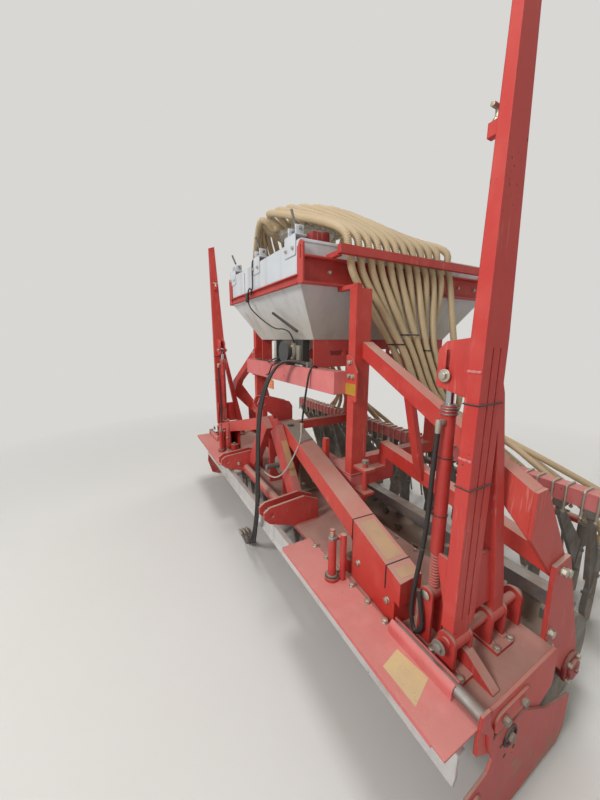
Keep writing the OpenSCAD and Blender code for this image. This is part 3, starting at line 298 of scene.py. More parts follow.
class Finish:
    """One material, built up in layers from its base colour."""

    def __init__(self, name, colour, rough, metal=0.0):
        self.material = bpy.data.materials.new(name)
        self.material.use_nodes = True
        self.tree = self.material.node_tree
        self.shader = self.tree.nodes["Principled BSDF"]
        self.shader.inputs["Base Color"].default_value = colour
        self.shader.inputs["Roughness"].default_value = rough
        self.shader.inputs["Metallic"].default_value = metal
        self.rough = rough
        self.colour = colour

    def effect(self, group, **values):
        """The outputs of an effect that is placed in this material with its own values."""
        node = self.tree.nodes.new("ShaderNodeGroup")
        node.node_tree = group
        for label, value in values.items():
            node.inputs[label.capitalize()].default_value = value
        return node.outputs

    def blend(self, mask, below, above, sockets):
        """One value over another where the mask is, colours or plain numbers."""
        first, second, result = sockets
        mix = self.tree.nodes.new("ShaderNodeMix")
        mix.data_type = "RGBA" if sockets is MIX_COLOURS else "FLOAT"
        feed(self.tree, below, mix.inputs[first])
        feed(self.tree, above, mix.inputs[second])
        self.tree.links.new(mask, mix.inputs["Factor"])
        return mix.outputs[result]

    def layer(self, mask, colour, rough=None):
        """Lays a colour over what is there, where the mask is, and its roughness if it is given."""
        self.colour = self.blend(mask, self.colour, colour, MIX_COLOURS)
        self.tree.links.new(self.colour, self.shader.inputs["Base Color"])
        if rough is not None:
            self.rough = self.blend(mask, self.rough, rough, MIX_NUMBERS)
            self.tree.links.new(self.rough, self.shader.inputs["Roughness"])

    def metallic_off(self, mask, most):
        """Lowers the metal where the mask is."""
        keep = less(self.tree, 1.0, mask, True)
        self.tree.links.new(times(self.tree, keep, most), self.shader.inputs["Metallic"])

    def patches(self, scale, low, high):
        return ramp_node(self.tree, noise_node(self.tree, scale, 5.0), low, high)

    def bump(self, height, strength, depth, normal=None):
        node = self.tree.nodes.new("ShaderNodeBump")
        node.inputs["Strength"].default_value = strength
        node.inputs["Distance"].default_value = depth
        self.tree.links.new(height, node.inputs["Height"])
        if normal is not None:
            self.tree.links.new(normal, node.inputs["Normal"])
        self.tree.links.new(node.outputs["Normal"], self.shader.inputs["Normal"])


RUST = linear(96, 58, 40)
PALE_SCRAPE = linear(214, 134, 122)
SOIL = linear(158, 140, 122)
DRY_DUST = linear(178, 152, 138)


def shaded(colour, share):
    return tuple(channel * share for channel in colour[:3]) + (1.0,)


def sprayed_paint(name, fresh, bleached, bleach, dust, chips, streaks, rough=0.42):
    """Farm machine paint: bleached in patches, scraped, chipped at its edges, dusty on top."""
    paint = Finish(name, fresh, rough)
    tree = paint.tree
    paint.layer(times(tree, paint.patches(1.7, 0.34, 0.70), bleach), bleached, rough + 0.18)
    paint.layer(times(tree, paint.patches(11.0, 0.50, 0.74), bleach * 0.7), bleached, rough + 0.22)
    paint.layer(paint.effect(RUN_STREAKS, amount=streaks)["Mask"], shaded(fresh, 0.55), rough + 0.1)
    paint.layer(paint.effect(SCRATCHES, amount=0.55)["Mask"], PALE_SCRAPE, 0.7)
    edge = paint.effect(EDGE_WEAR, radius=0.004, amount=0.6)
    paint.layer(edge["Mask"], PALE_SCRAPE, 0.7)
    paint.layer(paint.effect(CHIPS, amount=chips)["Mask"], RUST, 0.8)
    paint.layer(paint.effect(SETTLED_DUST, amount=dust)["Mask"], DRY_DUST, 0.9)
    paint.layer(paint.effect(SOIL_SPLASH, amount=0.6)["Mask"], SOIL, 0.92)
    grain = paint.effect(SURFACE_GRAIN, fine=520.0, coarse=26.0)
    paint.bump(grain["Height"], 0.25, 0.002, edge["Normal"])
    paint.shader.inputs["Specular IOR Level"].default_value = 0.45
    return paint.material


def bare_metal(name, colour, tarnish, rough, tarnished, dust=0.4, metal=0.85):
    """Metal that is tarnished in spots and soiled, and shines less where it is."""
    steel = Finish(name, colour, rough, metal)
    cover = times(steel.tree, steel.patches(14.0, 0.42, 0.66), tarnished)
    steel.layer(cover, tarnish, 0.75)
    settled = math_node(steel.tree, "MAXIMUM", steel.effect(SETTLED_DUST, amount=dust)["Mask"],
                        steel.effect(SOIL_SPLASH, amount=dust)["Mask"])
    steel.layer(settled, SOIL, 0.9)
    steel.metallic_off(math_node(steel.tree, "MAXIMUM", cover, settled), metal)
    edge = steel.effect(EDGE_WEAR, radius=0.003, amount=0.4)
    grain = steel.effect(SURFACE_GRAIN, fine=300.0, coarse=45.0)
    steel.bump(grain["Height"], 0.35, 0.002, edge["Normal"])
    return steel.material


def moulded_plastic(name, colour, rough, dust, fine=700.0):
    """Plastic or rubber with a fine grain, a little darker in patches, dusty on top."""
    skin = Finish(name, colour, rough)
    skin.layer(skin.patches(3.0, 0.35, 0.8), shaded(colour, 0.82), rough + 0.06)
    skin.layer(skin.effect(SETTLED_DUST, amount=dust, scale=5.0)["Mask"], DRY_DUST, 0.85)
    edge = skin.effect(EDGE_WEAR, radius=0.004, amount=0.1)
    grain = skin.effect(SURFACE_GRAIN, fine=fine, coarse=60.0)
    skin.bump(grain["Height"], 0.2, 0.001, edge["Normal"])
    return skin.material


def ribbed_hose(name, colour, groove_shade, pitch):
    """A hose whose ribs follow its own length, which the UV map holds in metres."""
    rough = 0.45
    skin = Finish(name, colour, rough)
    tree = skin.tree
    place = tree.nodes.new("ShaderNodeUVMap")
    place.uv_map = "along"
    split = tree.nodes.new("ShaderNodeSeparateXYZ")
    tree.links.new(place.outputs["UV"], split.inputs[0])
    wave = math_node(tree, "SINE", times(tree, split.outputs["Y"], 2 * math.pi / pitch))
    rib = ramp_node(tree, wave, -1.0, 1.0)
    dark = ramp_node(tree, wave, -0.4, -1.0)
    skin.layer(skin.patches(2.2, 0.3, 0.8), shaded(colour, 0.72), rough + 0.1)
    # Painted shade: the grooves between the ribs are darkened.
    skin.layer(times(tree, dark, 0.45), groove_shade, rough + 0.15)
    skin.layer(skin.effect(SETTLED_DUST, amount=0.35, scale=4.0)["Mask"], DRY_DUST, 0.9)
    skin.bump(rib, 0.6, 0.0015)
    return skin.material


def blank_label(name, colour, faded):
    """A printed foil with nothing on it: faded in patches, scuffed and dusty."""
    foil = Finish(name, colour, 0.5)
    foil.layer(foil.patches(9.0, 0.4, 0.75), faded, 0.7)
    foil.layer(foil.effect(CHIPS, amount=0.5)["Mask"], linear(160, 90, 66), 0.8)
    foil.layer(foil.effect(SCRATCHES, amount=0.5)["Mask"], linear(150, 120, 92), 0.8)
    foil.layer(foil.effect(SETTLED_DUST, amount=0.45, scale=12.0)["Mask"], DRY_DUST, 0.9)
    return foil.material


def hopper_sheet():
    """Pale coated sheet, darker towards the funnel as painted shade, and streaked by rain and seed dust."""
    funnel_top, funnel_low = 1.80, 1.58
    sheet = Finish("hopper_sheet", linear(214, 218, 222), 0.38)
    tree = sheet.tree
    sheet.layer(sheet.patches(1.6, 0.35, 0.75), linear(190, 196, 204), 0.5)
    # Painted shade: the sheet darkens downwards into the funnel.
    low = ramp_node(tree, height_of(tree, object_place(tree)), funnel_top, funnel_low)
    sheet.layer(times(tree, low, 0.75), linear(186, 178, 166), 0.62)
    sheet.layer(sheet.effect(RUN_STREAKS, amount=0.7, width=9.0)["Mask"], linear(150, 140, 128), 0.7)
    sheet.layer(sheet.effect(CHIPS, amount=0.35)["Mask"], linear(120, 112, 104), 0.8)
    sheet.layer(sheet.effect(SETTLED_DUST, amount=0.5, scale=4.0)["Mask"], linear(190, 180, 166), 0.9)
    edge = sheet.effect(EDGE_WEAR, radius=0.005, amount=0.2)
    grain = sheet.effect(SURFACE_GRAIN, fine=300.0, coarse=5.0)
    sheet.bump(grain["Height"], 0.3, 0.004, edge["Normal"])
    return sheet.material


def lamp_lens():
    glass = Finish("lamp_lens", linear(214, 92, 20), 0.25)
    glass.layer(glass.patches(60.0, 0.4, 0.6), linear(236, 132, 40))
    glass.shader.inputs["Coat Weight"].default_value = 0.6
    return glass.material


def rod_polish():
    rod = Finish("rod_polish", linear(196, 198, 202), 0.16, 1.0)
    rod.layer(rod.effect(RUN_STREAKS, amount=0.5)["Mask"], linear(120, 104, 88), 0.5)
    return rod.material


FINISH = {
    "red": sprayed_paint("red_paint", linear(178, 28, 26), linear(204, 82, 76),
                         bleach=0.7, dust=0.85, chips=0.45, streaks=0.4),
    "arm_red": sprayed_paint("arm_paint", linear(188, 34, 27), linear(208, 88, 78),
                             bleach=0.7, dust=0.75, chips=0.5, streaks=0.35),
    "marker_red": sprayed_paint("marker_paint", linear(190, 34, 31), linear(206, 86, 78),
                                bleach=0.6, dust=0.5, chips=0.45, streaks=0.35),
    # Red paint bleached pink in the sun and made lighter still as painted light, a lit copy of the red: for
    # the front guards, the cross beams and the markers' seams.
    "pink": sprayed_paint("bleached_and_lit_paint", linear(206, 96, 96), linear(222, 136, 134),
                          bleach=0.8, dust=0.45, chips=0.6, streaks=0.35, rough=0.55),
    # Red paint darkened as painted shade, a shaded copy of the red: for the trough, the bearing caps and
    # the latch blocks.
    "deep": sprayed_paint("shaded_paint", linear(138, 22, 26), linear(160, 48, 48),
                          bleach=0.4, dust=0.8, chips=0.5, streaks=0.4),
    "grey": sprayed_paint("primer_paint", linear(186, 186, 186), linear(206, 204, 200),
                          bleach=0.6, dust=0.5, chips=0.6, streaks=0.6, rough=0.5),
    "sheet": hopper_sheet(),
    "steel": bare_metal("bare_steel", linear(150, 150, 148), linear(112, 82, 62),
                        rough=0.4, tarnished=0.55),
    "worn": bare_metal("soil_steel", linear(128, 126, 122), linear(112, 92, 74),
                       rough=0.5, tarnished=0.7, dust=0.95, metal=0.45),
    "cast": bare_metal("grey_casting", linear(146, 140, 126), linear(112, 92, 76),
                       rough=0.62, tarnished=0.5, dust=0.6, metal=0.2),
    "zinc": bare_metal("zinc_plate", linear(190, 186, 172), linear(142, 118, 88),
                       rough=0.35, tarnished=0.4, dust=0.3, metal=0.9),
    "steel_grey": bare_metal("grey_plate", linear(124, 128, 134), linear(140, 120, 108),
                             rough=0.55, tarnished=0.5, dust=0.7, metal=0.3),
    "rod": rod_polish(),
    "hose": ribbed_hose("seed_hose", linear(206, 184, 146), linear(150, 124, 88), pitch=0.009),
    "rubber": moulded_plastic("black_rubber", linear(34, 34, 35), rough=0.62, dust=0.4),
    "dark": moulded_plastic("dark_moulding", linear(58, 60, 60), rough=0.5, dust=0.45),
    "pale": moulded_plastic("pale_moulding", linear(214, 210, 198), rough=0.48, dust=0.4),
    "cover": moulded_plastic("grey_cover", linear(176, 174, 166), rough=0.55, dust=0.55, fine=300.0),
    "white": moulded_plastic("white_cap", linear(232, 230, 222), rough=0.4, dust=0.3),
    "black": moulded_plastic("black_moulding", linear(26, 26, 27), rough=0.5, dust=0.3),
    "lens": lamp_lens(),
    "label": blank_label("faded_label", linear(214, 192, 128), linear(192, 166, 122)),
    "strut_label": blank_label("dull_label", linear(186, 150, 98), linear(158, 122, 90)),
    "post_label": blank_label("bright_label", linear(190, 148, 34), linear(164, 120, 44)),
}


# Modelling helpers

UP, DOWN = (0, 0, 1), (0, 0, -1)
FRONT, BACK = (0, 1, 0), (0, -1, 0)
SMOOTH_BELOW = math.radians(38)


def out_x(side):
    return (side, 0, 0)


def round_points(count, start=0.0):
    """Cosine and sine of count turns, spread evenly from a start in degrees."""
    turns = [math.radians(start + 360 * k / count) for k in range(count)]
    return [(math.cos(turn), math.sin(turn)) for turn in turns]


def deselect():
    if bpy.context.object and bpy.context.object.mode != "OBJECT":
        bpy.ops.object.mode_set(mode="OBJECT")
    bpy.ops.object.select_all(action="DESELECT")


def work_on(obj):
    deselect()
    obj.select_set(True)
    bpy.context.view_layer.objects.active = obj


def settle(obj, name, finish, body="frame"):
    """Puts the place into the mesh, names the piece and lets it ride on its body."""
    work_on(obj)
    bpy.ops.object.transform_apply(location=True, rotation=True, scale=True)
    obj.name = name
    obj.data.name = name
    obj.data.materials.clear()
    obj.data.materials.append(FINISH[finish])
    bpy.ops.object.shade_smooth_by_angle(angle=SMOOTH_BELOW)
    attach(obj, body)
    return obj


def apply_modifier(obj, kind, **values):
    work_on(obj)
    made = obj.modifiers.new(kind.lower(), kind)
    for label, value in values.items():
        setattr(made, label, value)
    bpy.ops.object.modifier_apply(modifier=made.name)


def joined(parts):
    """Joins copies, each with its own mesh, into the first."""
    deselect()
    for part in parts:
        part.select_set(True)
    bpy.context.view_layer.objects.active = parts[0]
    if len(parts) > 1:
        bpy.ops.object.join()
    return bpy.context.object


def copied(obj, matrix):
    twin = obj.copy()
    twin.data = obj.data.copy()
    bpy.context.collection.objects.link(twin)
    twin.matrix_world = matrix @ obj.matrix_world
    return twin


def turn_to(axis):
    return Vector((0, 0, 1)).rotation_difference(Vector(axis)).to_matrix().to_4x4()


def select_faces(obj, test):
    """Enters edit mode with only the faces that pass the test selected."""
    work_on(obj)
    bpy.ops.object.mode_set(mode="EDIT")
    bpy.ops.mesh.select_mode(type="FACE")
    bpy.ops.mesh.select_all(action="DESELECT")
    mesh = bmesh.from_edit_mesh(obj.data)
    for face in mesh.faces:
        face.select = bool(test(face))
    mesh.select_flush_mode()
    bmesh.update_edit_mesh(obj.data)


def leave_edit():
    bpy.ops.object.mode_set(mode="OBJECT")


def hex_bolt(across, height):
    """A bolt head with its washer and chamfered corners, standing on the origin."""
    deselect()
    corner = across / 2 / math.cos(math.pi / 6)
    bpy.ops.mesh.primitive_cylinder_add(vertices=6, radius=corner, depth=height,
                                        location=(0, 0, height / 2 + 0.002))
    head = bpy.context.object
    select_faces(head, lambda face: face.normal.z > 0.9)
    bpy.ops.mesh.inset(thickness=across * 0.08)
    bpy.ops.transform.translate(value=(0, 0, height * 0.12))
    leave_edit()
    deselect()
    bpy.ops.mesh.primitive_cylinder_add(vertices=14, radius=across * 0.62, depth=0.003,
                                        location=(0, 0, 0.0012))
    return joined([head, bpy.context.object])


def repeated(first, name, spots, finish, body="frame", spin=0.37):
    """A copy of one piece at each spot, a place and the way that its top faces."""
    work_on(first)
    bpy.ops.object.transform_apply(location=True, rotation=True, scale=True)
    copies = []
    for number, (place, axis) in enumerate(spots):
        turned = Matrix.Rotation(spin * number, 4, "Z")
        copies.append(copied(first, Matrix.Translation(place) @ turn_to(axis) @ turned))
    bpy.data.objects.remove(first)
    return settle(joined(copies), name, finish, body)


def bolt_set(name, spots, across, height, finish="zinc", body="frame"):
    return repeated(hex_bolt(across, height), name, spots, finish, body)


def smooth_path(points, steps):
    """A smooth curve through the points, as the part's source draws it."""
    path = []
    last = len(points) - 1
    for i in range(last):
        a, b = points[max(i - 1, 0)], points[i]
        c, d = points[i + 1], points[min(i + 2, last)]
        for s in range(steps):
            t = s / steps
            path.append(0.5 * (2 * b + (c - a) * t + (2 * a - 5 * b + 4 * c - d) * t * t
                               + (3 * b - a - 3 * c + d) * t * t * t))
    path.append(points[last])
    return path


def hose_mesh(name, routes, radius, around, finish, body="frame", closed=False):
    """Tubes along routes, open or closed to loops, with their length in metres kept in the UV map."""
    mesh = bpy.data.meshes.new(name)
    made = bmesh.new()
    along = made.loops.layers.uv.new("along")
    corners = round_points(around)
    for route in routes:
        count = len(route)
        # A direction that no route starts along
        side = Vector((0.31, 0.17, 0.94))
        rings = []
        lengths = [0.0]
        for i, point in enumerate(route):
            before = route[i - 1] if closed else route[max(i - 1, 0)]
            after = route[(i + 1) % count] if closed else route[min(i + 1, count - 1)]
            ahead = (after - before).normalized()
            side = (side - side.dot(ahead) * ahead).normalized()
            other = ahead.cross(side)
            rings.append([made.verts.new(point + radius * (right * side + over * other))
                          for right, over in corners])
            lengths.append(lengths[-1] + (route[(i + 1) % count] - point).length)
        for i in range(count if closed else count - 1):
            near, far = rings[i], rings[(i + 1) % count]
            for k in range(around):
                n = (k + 1) % around
                face = made.faces.new((near[k], far[k], far[n], near[n]))
                face.smooth = True
                for corner, turn, step in zip(face.loops, (k, k, k + 1, k + 1), (i, i + 1, i + 1, i)):
                    corner[along].uv = (turn / around, lengths[step])
        if not closed:
            made.faces.new(rings[0])
            made.faces.new(list(reversed(rings[-1])))
    bmesh.ops.recalc_face_normals(made, faces=made.faces)
    made.to_mesh(mesh)
    made.free()
    obj = bpy.data.objects.new(name, mesh)
    bpy.context.collection.objects.link(obj)
    obj.data.materials.append(FINISH[finish])
    if body:
        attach(obj, body)
    return obj


# Seed hoses

HOSES_A_SIDE = 12
HOSE_RADIUS = 0.018
CLAMP_RADIUS = HOSE_RADIUS + 0.0003
HOSE_STEPS = 6
HOSE_X = 0.5775
HEAD = Vector((0, 0.425, 2.150))
HEAD_EDGE = 0.165
COULTER_PITCH = 0.125
COULTER_ROWS = (-0.560, -0.740)
BOOT_Z = 0.470


def outlet_way(i, side):
    """The way in which outlet i of one side leaves the distributor's head."""
    turn = math.radians(10 + i * 14.4)
    return Vector((side * math.sin(turn), math.cos(turn), 0))


def rail_y(i):
    """Where hose i crosses the hose rail."""
    return 0.532 - i * 0.061 - (0.024 if i == HOSES_A_SIDE - 1 else 0.0)


def coulter_place(k):
    """Distance from the middle, and the row, of coulter k."""
    return (k + 0.5) * COULTER_PITCH, COULTER_ROWS[k % 2]


def hose_route(i):
    """The route of one seed hose on the left, with the points of the part's source."""
    away = outlet_way(i, -1)
    last = 1 if i == HOSES_A_SIDE - 1 else 0
    lane = i % 2
    out, row = coulter_place(HOSES_A_SIDE - 1 - i)
    spread = out - 0.560
    return [
        HEAD + (HEAD_EDGE + 0.0003) * away,
        HEAD + (HEAD_EDGE + 0.020) * away,
        HEAD + (HEAD_EDGE + 0.045) * away,
        HEAD + (HEAD_EDGE + 0.115) * away + Vector((0.003 * i - 0.035, -0.004 * i, 0.038 - 0.001 * i)),
        Vector((0.050 - HOSE_X, rail_y(i) + 0.038, 2.015)),
        Vector((-HOSE_X, rail_y(i), 1.900)),
        Vector((-HOSE_X, rail_y(i) - 0.045, 1.780)),
        Vector((-0.575 - 0.037 * lane, 0.215 - 0.031 * i - 0.120 * last, 1.450)),
        Vector((-0.575 - 0.040 * lane, -0.018 - 0.0255 * i - 0.040 * last, 1.140)),
        Vector((-0.560 - 0.040 * lane - spread * 0.25, -0.405 - 0.022 * (i % 3), 0.960)),
        Vector((-0.560 - spread * 0.85, row + 0.020, 0.660)),
        Vector((-out, row, BOOT_Z + 0.070)),
        Vector((-out, row, BOOT_Z + 0.035)),
        Vector((-out, row, BOOT_Z + 0.0003)),
    ]


def add_seed_hoses():
    for side, name in SIDES:
        flip = Vector((-side, 1, 1))
        routes = [[p * flip for p in smooth_path(hose_route(i), HOSE_STEPS)] for i in range(HOSES_A_SIDE)]
        piece = hose_mesh("seed_hoses_" + name + "_skin", routes, HOSE_RADIUS, 14, "hose")
        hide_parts("seed_hoses_" + name)


# Hydraulic hoses

OIL_HOSE_D = 0.014
OIL_HOSE_LENGTHS = (1.815, 1.809, 1.806)
# x, y, z of the first hose, and how far the next one lies from it in x and y, in millimetres
OIL_ROUTE = (
    (-328, 572, 1364, 0, 18),
    (-306, 572, 1364, 0, 18),
    (-285, 579, 1367, 0, 19),
    (-263, 597, 1373, -4, 20),
    (-240, 620, 1378, -8, 19),
    (-214, 648, 1380, -12, 16),
    (-189, 677, 1374, -13, 12),
    (-165, 708, 1354, -15, 9),
    (-144, 738, 1316, -17, 5),
    (-128, 766, 1264, -18, 2),
    (-117, 789, 1200, -18, 0),
    (-109, 806, 1128, -18, 0),
    (-107, 818, 1050, -18, 0),
    (-107, 826, 970, -18, 0),
    (-109, 832, 890, -18, 0),
    (-111, 836, 810, -18, 0),
    (-112, 839, 730, -18, 0),
    (-111, 841, 650, -18, 0),
    (-107, 842, 570, -18, 0),
    (-99, 843, 490, -18, 0),
    (-86, 844, 412, -18, 0),
    (-67, 845, 338, -18, 0),
    (-42, 845, 270, -18, -1),
    (-12, 845, 208, -17, -4),
    (24, 844, 154, -15, -8),
    (64, 842, 108, -12, -12),
    (108, 838, 70, -8, -16),
    (154, 832, 40, -5, -20),
    (200, 825, 20, -2, -24),
    (240, 819, 12, -1, -26),
    (270, 817, 12, 0, -27),
    (300, 817, 12, 0, -27),
)


# A coupling's steps along it: where each starts, its length, radius and corners
COUPLING_STEPS = (
    (0.000, 0.020, 0.0118, 6),
    (0.019, 0.008, 0.0092, 20),
    (0.026, 0.026, 0.0120, 20),
    (0.051, 0.027, 0.0088, 20),
)


def oil_hose(i):
    return [Vector((x + i * dx, y + i * dy, z)) / 1000 for x, y, z, dx, dy in OIL_ROUTE]


def hose_coupling(name, end):
    """A quick coupling: hexagon, knurled sleeve and dust cap, lying along X from the hose's end."""
    parts = []
    for start, length, radius, sides in COUPLING_STEPS:
        deselect()
        bpy.ops.mesh.primitive_cylinder_add(vertices=sides, radius=radius, depth=length,
                                            location=end + Vector((start + length / 2, 0, 0)),
                                            rotation=(0, math.pi / 2, 0))
        part = bpy.context.object
        work_on(part)
        bpy.ops.object.transform_apply(location=False, rotation=True, scale=True)
        apply_modifier(part, "BEVEL", width=0.0012, segments=2, limit_method="ANGLE")
        parts.append(part)
    return settle(joined(parts), name, "zinc")


def add_oil_hoses():
    for i in range(len(OIL_HOSE_LENGTHS)):
        points = oil_hose(i)
        path = smooth_path(points, 4)
        hose = hose_mesh("oil_hose_%d" % (i + 1), [path], OIL_HOSE_D / 2, 16, "rubber")
        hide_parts("hydraulic_hose_%d" % (i + 1))
        coupling = hose_coupling("coupling_%d" % (i + 1), points[-1])
        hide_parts("hose_plug_%d" % (i + 1))


# Finishes of the nodes

NODE_FINISH = {
    "red": ("headstock", "hitch_cheeks", "hitch_struts", "hitch_tube", "bar_adjusters", "marker_brackets",
            "hopper_cradle", "hopper_frame", "roller_frame", "side_deflectors", "tine_bar", "cylinder_left",
            "cylinder_right"),
    "arm_red": ("main_arms", "posts", "truss_tops", "truss_lowers", "coulter_frame", "end_plates"),
    "marker_red": ("marker_left", "marker_right"),
    # The guards and cross beams take the pink paint, lighter in part as painted light.
    "pink": ("front_guards", "cross_beams"),
    # The trough takes the red that is darkened as painted shade.
    "deep": ("trough",),
    "grey": ("levelling_bar",),
    "sheet": ("hopper",),
    "steel": ("deflector_tubes", "hose_block", "scrapers", "pto_shaft"),
    "worn": ("follow_tines", "packer_roller", "coulters",
             *("rotor_%d" % (i + 1) for i in range(ROTORS))),
    "cast": ("gearbox",),
    "dark": ("metering_unit",),
    "pale": ("distributor",),
    "rod": ("rod_left", "rod_right"),
    "cover": ("hopper_lid",),
}


def dress_nodes():
    for finish, names in NODE_FINISH.items():
        for name in names:
            mesh = NODES[name].data
            mesh.materials.clear()
            mesh.materials.append(FINISH[finish])


# Floor

def floor_wash(near, far):
    """Pale paint that is lit near the machine and keeps one tone from far out up the wall."""
    ground = Finish("floor_wash", linear(214, 213, 210), 0.9)
    ground.layer(ground.patches(0.8, 0.3, 0.8), linear(211, 210, 206))
    tree = ground.tree
    reach = tree.nodes.new("ShaderNodeVectorMath")
    reach.operation = "LENGTH"
    tree.links.new(object_place(tree), reach.inputs[0])
    ray = tree.nodes.new("ShaderNodeLightPath")
    mirrored = math_node(tree, "MAXIMUM", ray.outputs["Is Glossy Ray"], ray.outputs["Is Transmission Ray"])
    seen = math_node(tree, "MAXIMUM", ray.outputs["Is Camera Ray"], mirrored)
    tone = tree.nodes.new("ShaderNodeEmission")
    tone.inputs["Color"].default_value = linear(216, 215, 212)
    mix = tree.nodes.new("ShaderNodeMixShader")
    far_out = ramp_node(tree, reach.outputs["Value"], near, far)
    tree.links.new(times(tree, far_out, seen), mix.inputs["Fac"])
    tree.links.new(ground.shader.outputs["BSDF"], mix.inputs[1])
    tree.links.new(tone.outputs["Emission"], mix.inputs[2])
    tree.links.new(mix.outputs[0], tree.nodes["Material Output"].inputs["Surface"])
    return ground.material


def add_floor():
    """A pale floor that sweeps up into a pale wall all round, so no horizon shows."""
    flat = 7.0
    bend = 6.0
    top = 16.0
    steps = 12
    deselect()
    bpy.ops.mesh.primitive_circle_add(vertices=64, radius=flat, fill_type="NGON")
    floor = bpy.context.object
    bpy.ops.object.mode_set(mode="EDIT")
    bpy.ops.mesh.select_mode(type="EDGE")
    bpy.ops.mesh.select_all(action="DESELECT")
    bpy.ops.mesh.select_non_manifold()
    reach, height = flat, 0.0
    for step in range(1, steps + 2):
        turn = math.pi / 2 * min(step, steps) / steps
        next_reach = flat + bend * math.sin(turn)
        next_height = bend * (1 - math.cos(turn)) if step <= steps else top
        bpy.ops.mesh.extrude_region_move(TRANSFORM_OT_translate={"value": (0, 0, next_height - height)})
        grow = next_reach / reach
        bpy.ops.transform.resize(value=(grow, grow, 1))
        reach, height = next_reach, next_height
    bpy.ops.mesh.select_all(action="SELECT")
    bpy.ops.mesh.normals_make_consistent(inside=True)
    bpy.ops.mesh.faces_shade_smooth()
    leave_edit()
    floor.name = "pale_floor"
    floor.data.materials.append(floor_wash(near=2.2, far=5.2))


# Small parts

def slab(low, high, bevel=0.002):
    """A block between two corners with its edges broken."""
    low, high = Vector(low), Vector(high)
    low, high = Vector(map(min, low, high)), Vector(map(max, low, high))
    deselect()
    bpy.ops.mesh.primitive_cube_add(size=1)
    part = bpy.context.object
    part.scale = high - low
    part.location = (low + high) / 2
    bpy.ops.object.transform_apply(location=True, rotation=True, scale=True)
    apply_modifier(part, "BEVEL", width=bevel, segments=2)
    return part


def disc(place, axis, radius, length, sides=24, bevel=0.0015):
    """A round piece that stands on its place and reaches length along its axis."""
    deselect()
    bpy.ops.mesh.primitive_cylinder_add(vertices=sides, radius=radius, depth=length,
                                        location=(0, 0, length / 2))
    part = bpy.context.object
    bpy.ops.object.transform_apply(location=True, rotation=True, scale=True)
    if bevel:
        apply_modifier(part, "BEVEL", width=bevel, segments=2, limit_method="ANGLE")
    part.matrix_world = Matrix.Translation(place) @ turn_to(axis)
    return part


def ring(place, axis, radius, thick, sides=24, around=8):
    deselect()
    bpy.ops.mesh.primitive_torus_add(major_radius=radius, minor_radius=thick, major_segments=sides,
                                     minor_segments=around)
    part = bpy.context.object
    part.matrix_world = Matrix.Translation(place) @ turn_to(axis)
    return part


def flat_plate(corners, axis, thick):
    """A thin plate between four corners in their order round it, raised by thick along its axis."""
    deselect()
    bpy.ops.mesh.primitive_plane_add(size=1)
    part = bpy.context.object
    order_round = (0, 1, 3, 2)
    for number, corner in zip(order_round, corners):
        part.data.vertices[number].co = corner
    bpy.ops.object.mode_set(mode="EDIT")
    bpy.ops.mesh.select_all(action="SELECT")
    bpy.ops.mesh.extrude_region_move(TRANSFORM_OT_translate={"value": tuple(Vector(axis) * thick)})
    bpy.ops.mesh.select_all(action="SELECT")
    bpy.ops.mesh.normals_make_consistent(inside=False)
    leave_edit()
    return part


def hose_clamp(radius):
    """A steel band round the Z axis, with its screw housing and screw."""
    width, thick = 0.009, 0.0012
    deselect()
    bpy.ops.mesh.primitive_cylinder_add(vertices=20, radius=radius, depth=width, end_fill_type="NOTHING")
    band = bpy.context.object
    apply_modifier(band, "SOLIDIFY", thickness=thick, offset=1.0)
    housing = slab((radius - 0.001, -0.007, -width / 2), (radius + 0.006, 0.007, width / 2), thick)
    screw = disc((radius + 0.0035, -0.011, 0), FRONT, 0.0034, 0.022, 6, 0.0006)
    return joined([band, housing, screw])


def u_bolt(reach, low, top, radius):
    """A U bolt over a bar, its legs at plus and minus reach in Y, with a nut on each leg."""
    bend, steps = 0.012, 4
    path = [Vector((0, -reach, low)), Vector((0, -reach, top - bend))]
    for step in range(1, steps):
        turn = math.pi / 2 * step / steps
        path.append(Vector((0, -reach + bend * (1 - math.cos(turn)), top - bend * (1 - math.sin(turn)))))
    path.append(Vector((0, -reach + bend, top)))
    path += [Vector((0, -point.y, point.z)) for point in reversed(path)]
    legs = hose_mesh("legs", [path], radius, 8, "zinc", None)
    nuts = [disc((0, way * reach, low + 0.004), UP, radius * 1.7, 0.008, 6, 0.001) for way in WAYS]
    return joined([legs] + nuts)


def spring_coil(radius, wire, pitch, turns):
    """A wound spring round the Z axis."""
    steps = 14
    path = []
    for k in range(turns * steps + 1):
        angle = 2 * math.pi * k / steps
        height = pitch * (k / steps - turns / 2)
        path.append(Vector((radius * math.cos(angle), radius * math.sin(angle), height)))
    return hose_mesh("coil", [path], wire, 6, "steel", None)


def pieces(name, finish, parts, body="frame"):
    return settle(joined(parts), name, finish, body)


def cable(name, routes, radius, finish, body="frame"):
    """Thin round lines, each smooth through the points of its route."""
    steps, around = 6, 10
    paths = [smooth_path([Vector(point) for point in route], steps) for route in routes]
    return hose_mesh(name, paths, radius, around, finish, body)


def closed_path(corners, steps):
    """The corners of a loop with points between them, without the first again at the end."""
    path = []
    for start, end in zip(corners, corners[1:] + corners[:1]):
        path += [start.lerp(end, t / steps) for t in range(steps)]
    return path


